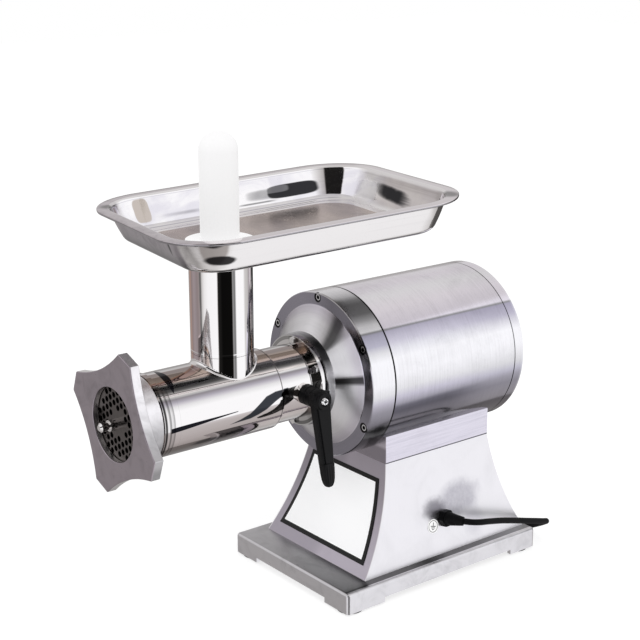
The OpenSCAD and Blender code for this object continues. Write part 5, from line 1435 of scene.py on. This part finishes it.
for name, tone, rough, mirror, pieces in (
        ("lever_black", (0.004, 0.004, 0.0045), 0.36, 0.16, [lever]),
        ("cord_black", (0.003, 0.003, 0.0035), 0.50, 0.13,
         ["cord_gland", "mains_cord", "mains_plug", "cord_tie", mains_cord]),
        ("foot_black", (0.02, 0.02, 0.021), 0.60, 0.5,
         ["rubber_feet", "front_gasket", "rear_gasket", "oil_seal"]),
        ("frame_black", (0.02, 0.02, 0.02), 0.40, 0.5, ["switch_frame", "terminal_block", "capacitor"]),
        ("button_green", (0.02, 0.35, 0.08), 0.35, 0.5, ["on_button"]),
        ("button_red", (0.6, 0.02, 0.02), 0.35, 0.5, ["off_button"]),
        ("winding_copper", (0.55, 0.22, 0.08), 0.35, 0.5, ["stator_windings"])):
    dress(moulded(name, tone, rough, mirror), *pieces)
dress(moulded("pusher_white", (0.31, 0.305, 0.31), 0.45, 0.15, speck=0.01, lift=0.62), "pusher")
dress(moulded("fan_white", (0.9, 0.9, 0.9), 0.4, speck=0.02), "cooling_fan")
print("mouldings done")

# %% [markdown]
# ## The lever's screw, the earth sign and the front plate
# These three carry a drawing: a cross recess in painted shade, a sign inside a ring, and a black border.
# Modelled lines this thin would need a great many faces, so each drawing is a few masks in the plane of its
# part, joined by the larger of two values.


# %% The screw in the lever's hub
def cross_screw():
    """A bright pan head with a cross recess in black painted shade, turned a little; each arm is a narrow
    rectangle.
    """
    paint = Paint("lever_screw")
    x, y, z = paint.axes(paint.place((0, LEVER_Y, AXIS_Z), turn=(0.42, 0, 0)))
    across, up = y.abs(), z.abs()
    arm = across.step(0.00075, 0.00055) * up.step(0.0024, 0.0021)
    cross = arm.larger(up.step(0.00075, 0.00055) * across.step(0.0024, 0.0021))
    marks = paint.noise(paint.place(), 300.0, 3.0)
    head = paint.mix(marks.step(0.5, 0.8) * 0.2, 0.96, 0.6)
    return paint.shade(Base_Color=paint.mix(cross, head, 0.006), Metallic=1.0, Roughness=0.22,
                       Normal=paint.bump(marks, 0.1, 0.0003))


dress(cross_screw(), "lever_screw")
print("screw done")


# %% The earth sign
def earth_disc():
    """White disc with a thin black ring and the usual earth sign: a stem over three bars, each shorter; the
    disc glows faintly as painted light.
    """
    paint = Paint("earth_disc")
    low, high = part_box("earth_mark")
    middle = (0.0, (low[1] + high[1]) / 2, (low[2] + high[2]) / 2)
    x, y, z = paint.axes(paint.place(middle, turn=(0.25, 0, 0)))
    ring = (y ** 2 + z ** 2).sqrt().band(0.0060, 0.0067, 0.0002)
    sign = y.abs().step(0.0006, 0.0004) * z.band(0.0000, 0.0042, 0.0002)
    for at, half in ((0.0, 0.0036), (-0.0017, 0.0024), (-0.0034, 0.0012)):
        sign = sign.larger((z - at).abs().step(0.0006, 0.0004) * y.abs().step(half + 0.0002, half))
    marks = paint.noise(paint.place(), 90.0, 3.0)
    disc = paint.mix(marks.step(0.4, 0.8) * 0.1, 0.93, 0.7)
    return paint.shade(Base_Color=paint.mix(ring.larger(sign), disc, 0.01), Roughness=marks * 0.1 + 0.35,
                       Specular_IOR_Level=0.3, Emission_Color=1.0, Emission_Strength=0.06,
                       Normal=paint.bump(marks, 0.05, 0.0003))


dress(earth_disc(), "earth_mark")
print("earth sign done")

# %% The front plate
PLATE_LOW, PLATE_HALF, BORDER_LOW, BORDER_HIGH, BORDER = 0.0375, 0.0750, 0.0420, 0.1193, 0.0049


def label_plate():
    """White plate with a printed black border that follows its slanting sides; the white glows faintly as
    painted light.
    """
    paint = Paint("label_plate")
    x, y, z = paint.axes(paint.place())
    half = PLATE_HALF - (z - PLATE_LOW) * SLANT
    sides = (x.abs() - half).step(-BORDER, -BORDER + 0.0002)
    top, bottom = z.step(BORDER_HIGH, BORDER_HIGH + 0.0002), z.step(BORDER_LOW, BORDER_LOW - 0.0002)
    border = sides.larger(top).larger(bottom)
    marks = paint.noise(paint.place(), 60.0, 4.0, 0.6)
    white = paint.mix(marks.step(0.4, 0.8) * 0.06, (0.92, 0.92, 0.93), (0.7, 0.7, 0.7))
    return paint.shade(Base_Color=paint.mix(border, white, 0.006), Roughness=marks * 0.1 + 0.32,
                       Specular_IOR_Level=0.3, Normal=paint.bump(marks, 0.05, 0.0003),
                       Emission_Color=paint.mix(border, 1.0, 0.0), Emission_Strength=0.12)


dress(label_plate(), "front_label_plate")
print("front plate done")

# %% [markdown]
# ## The last step
# The colours were chosen to be shown as they are, without a film curve.

# %% Finish
scene.view_settings.view_transform = "Standard"
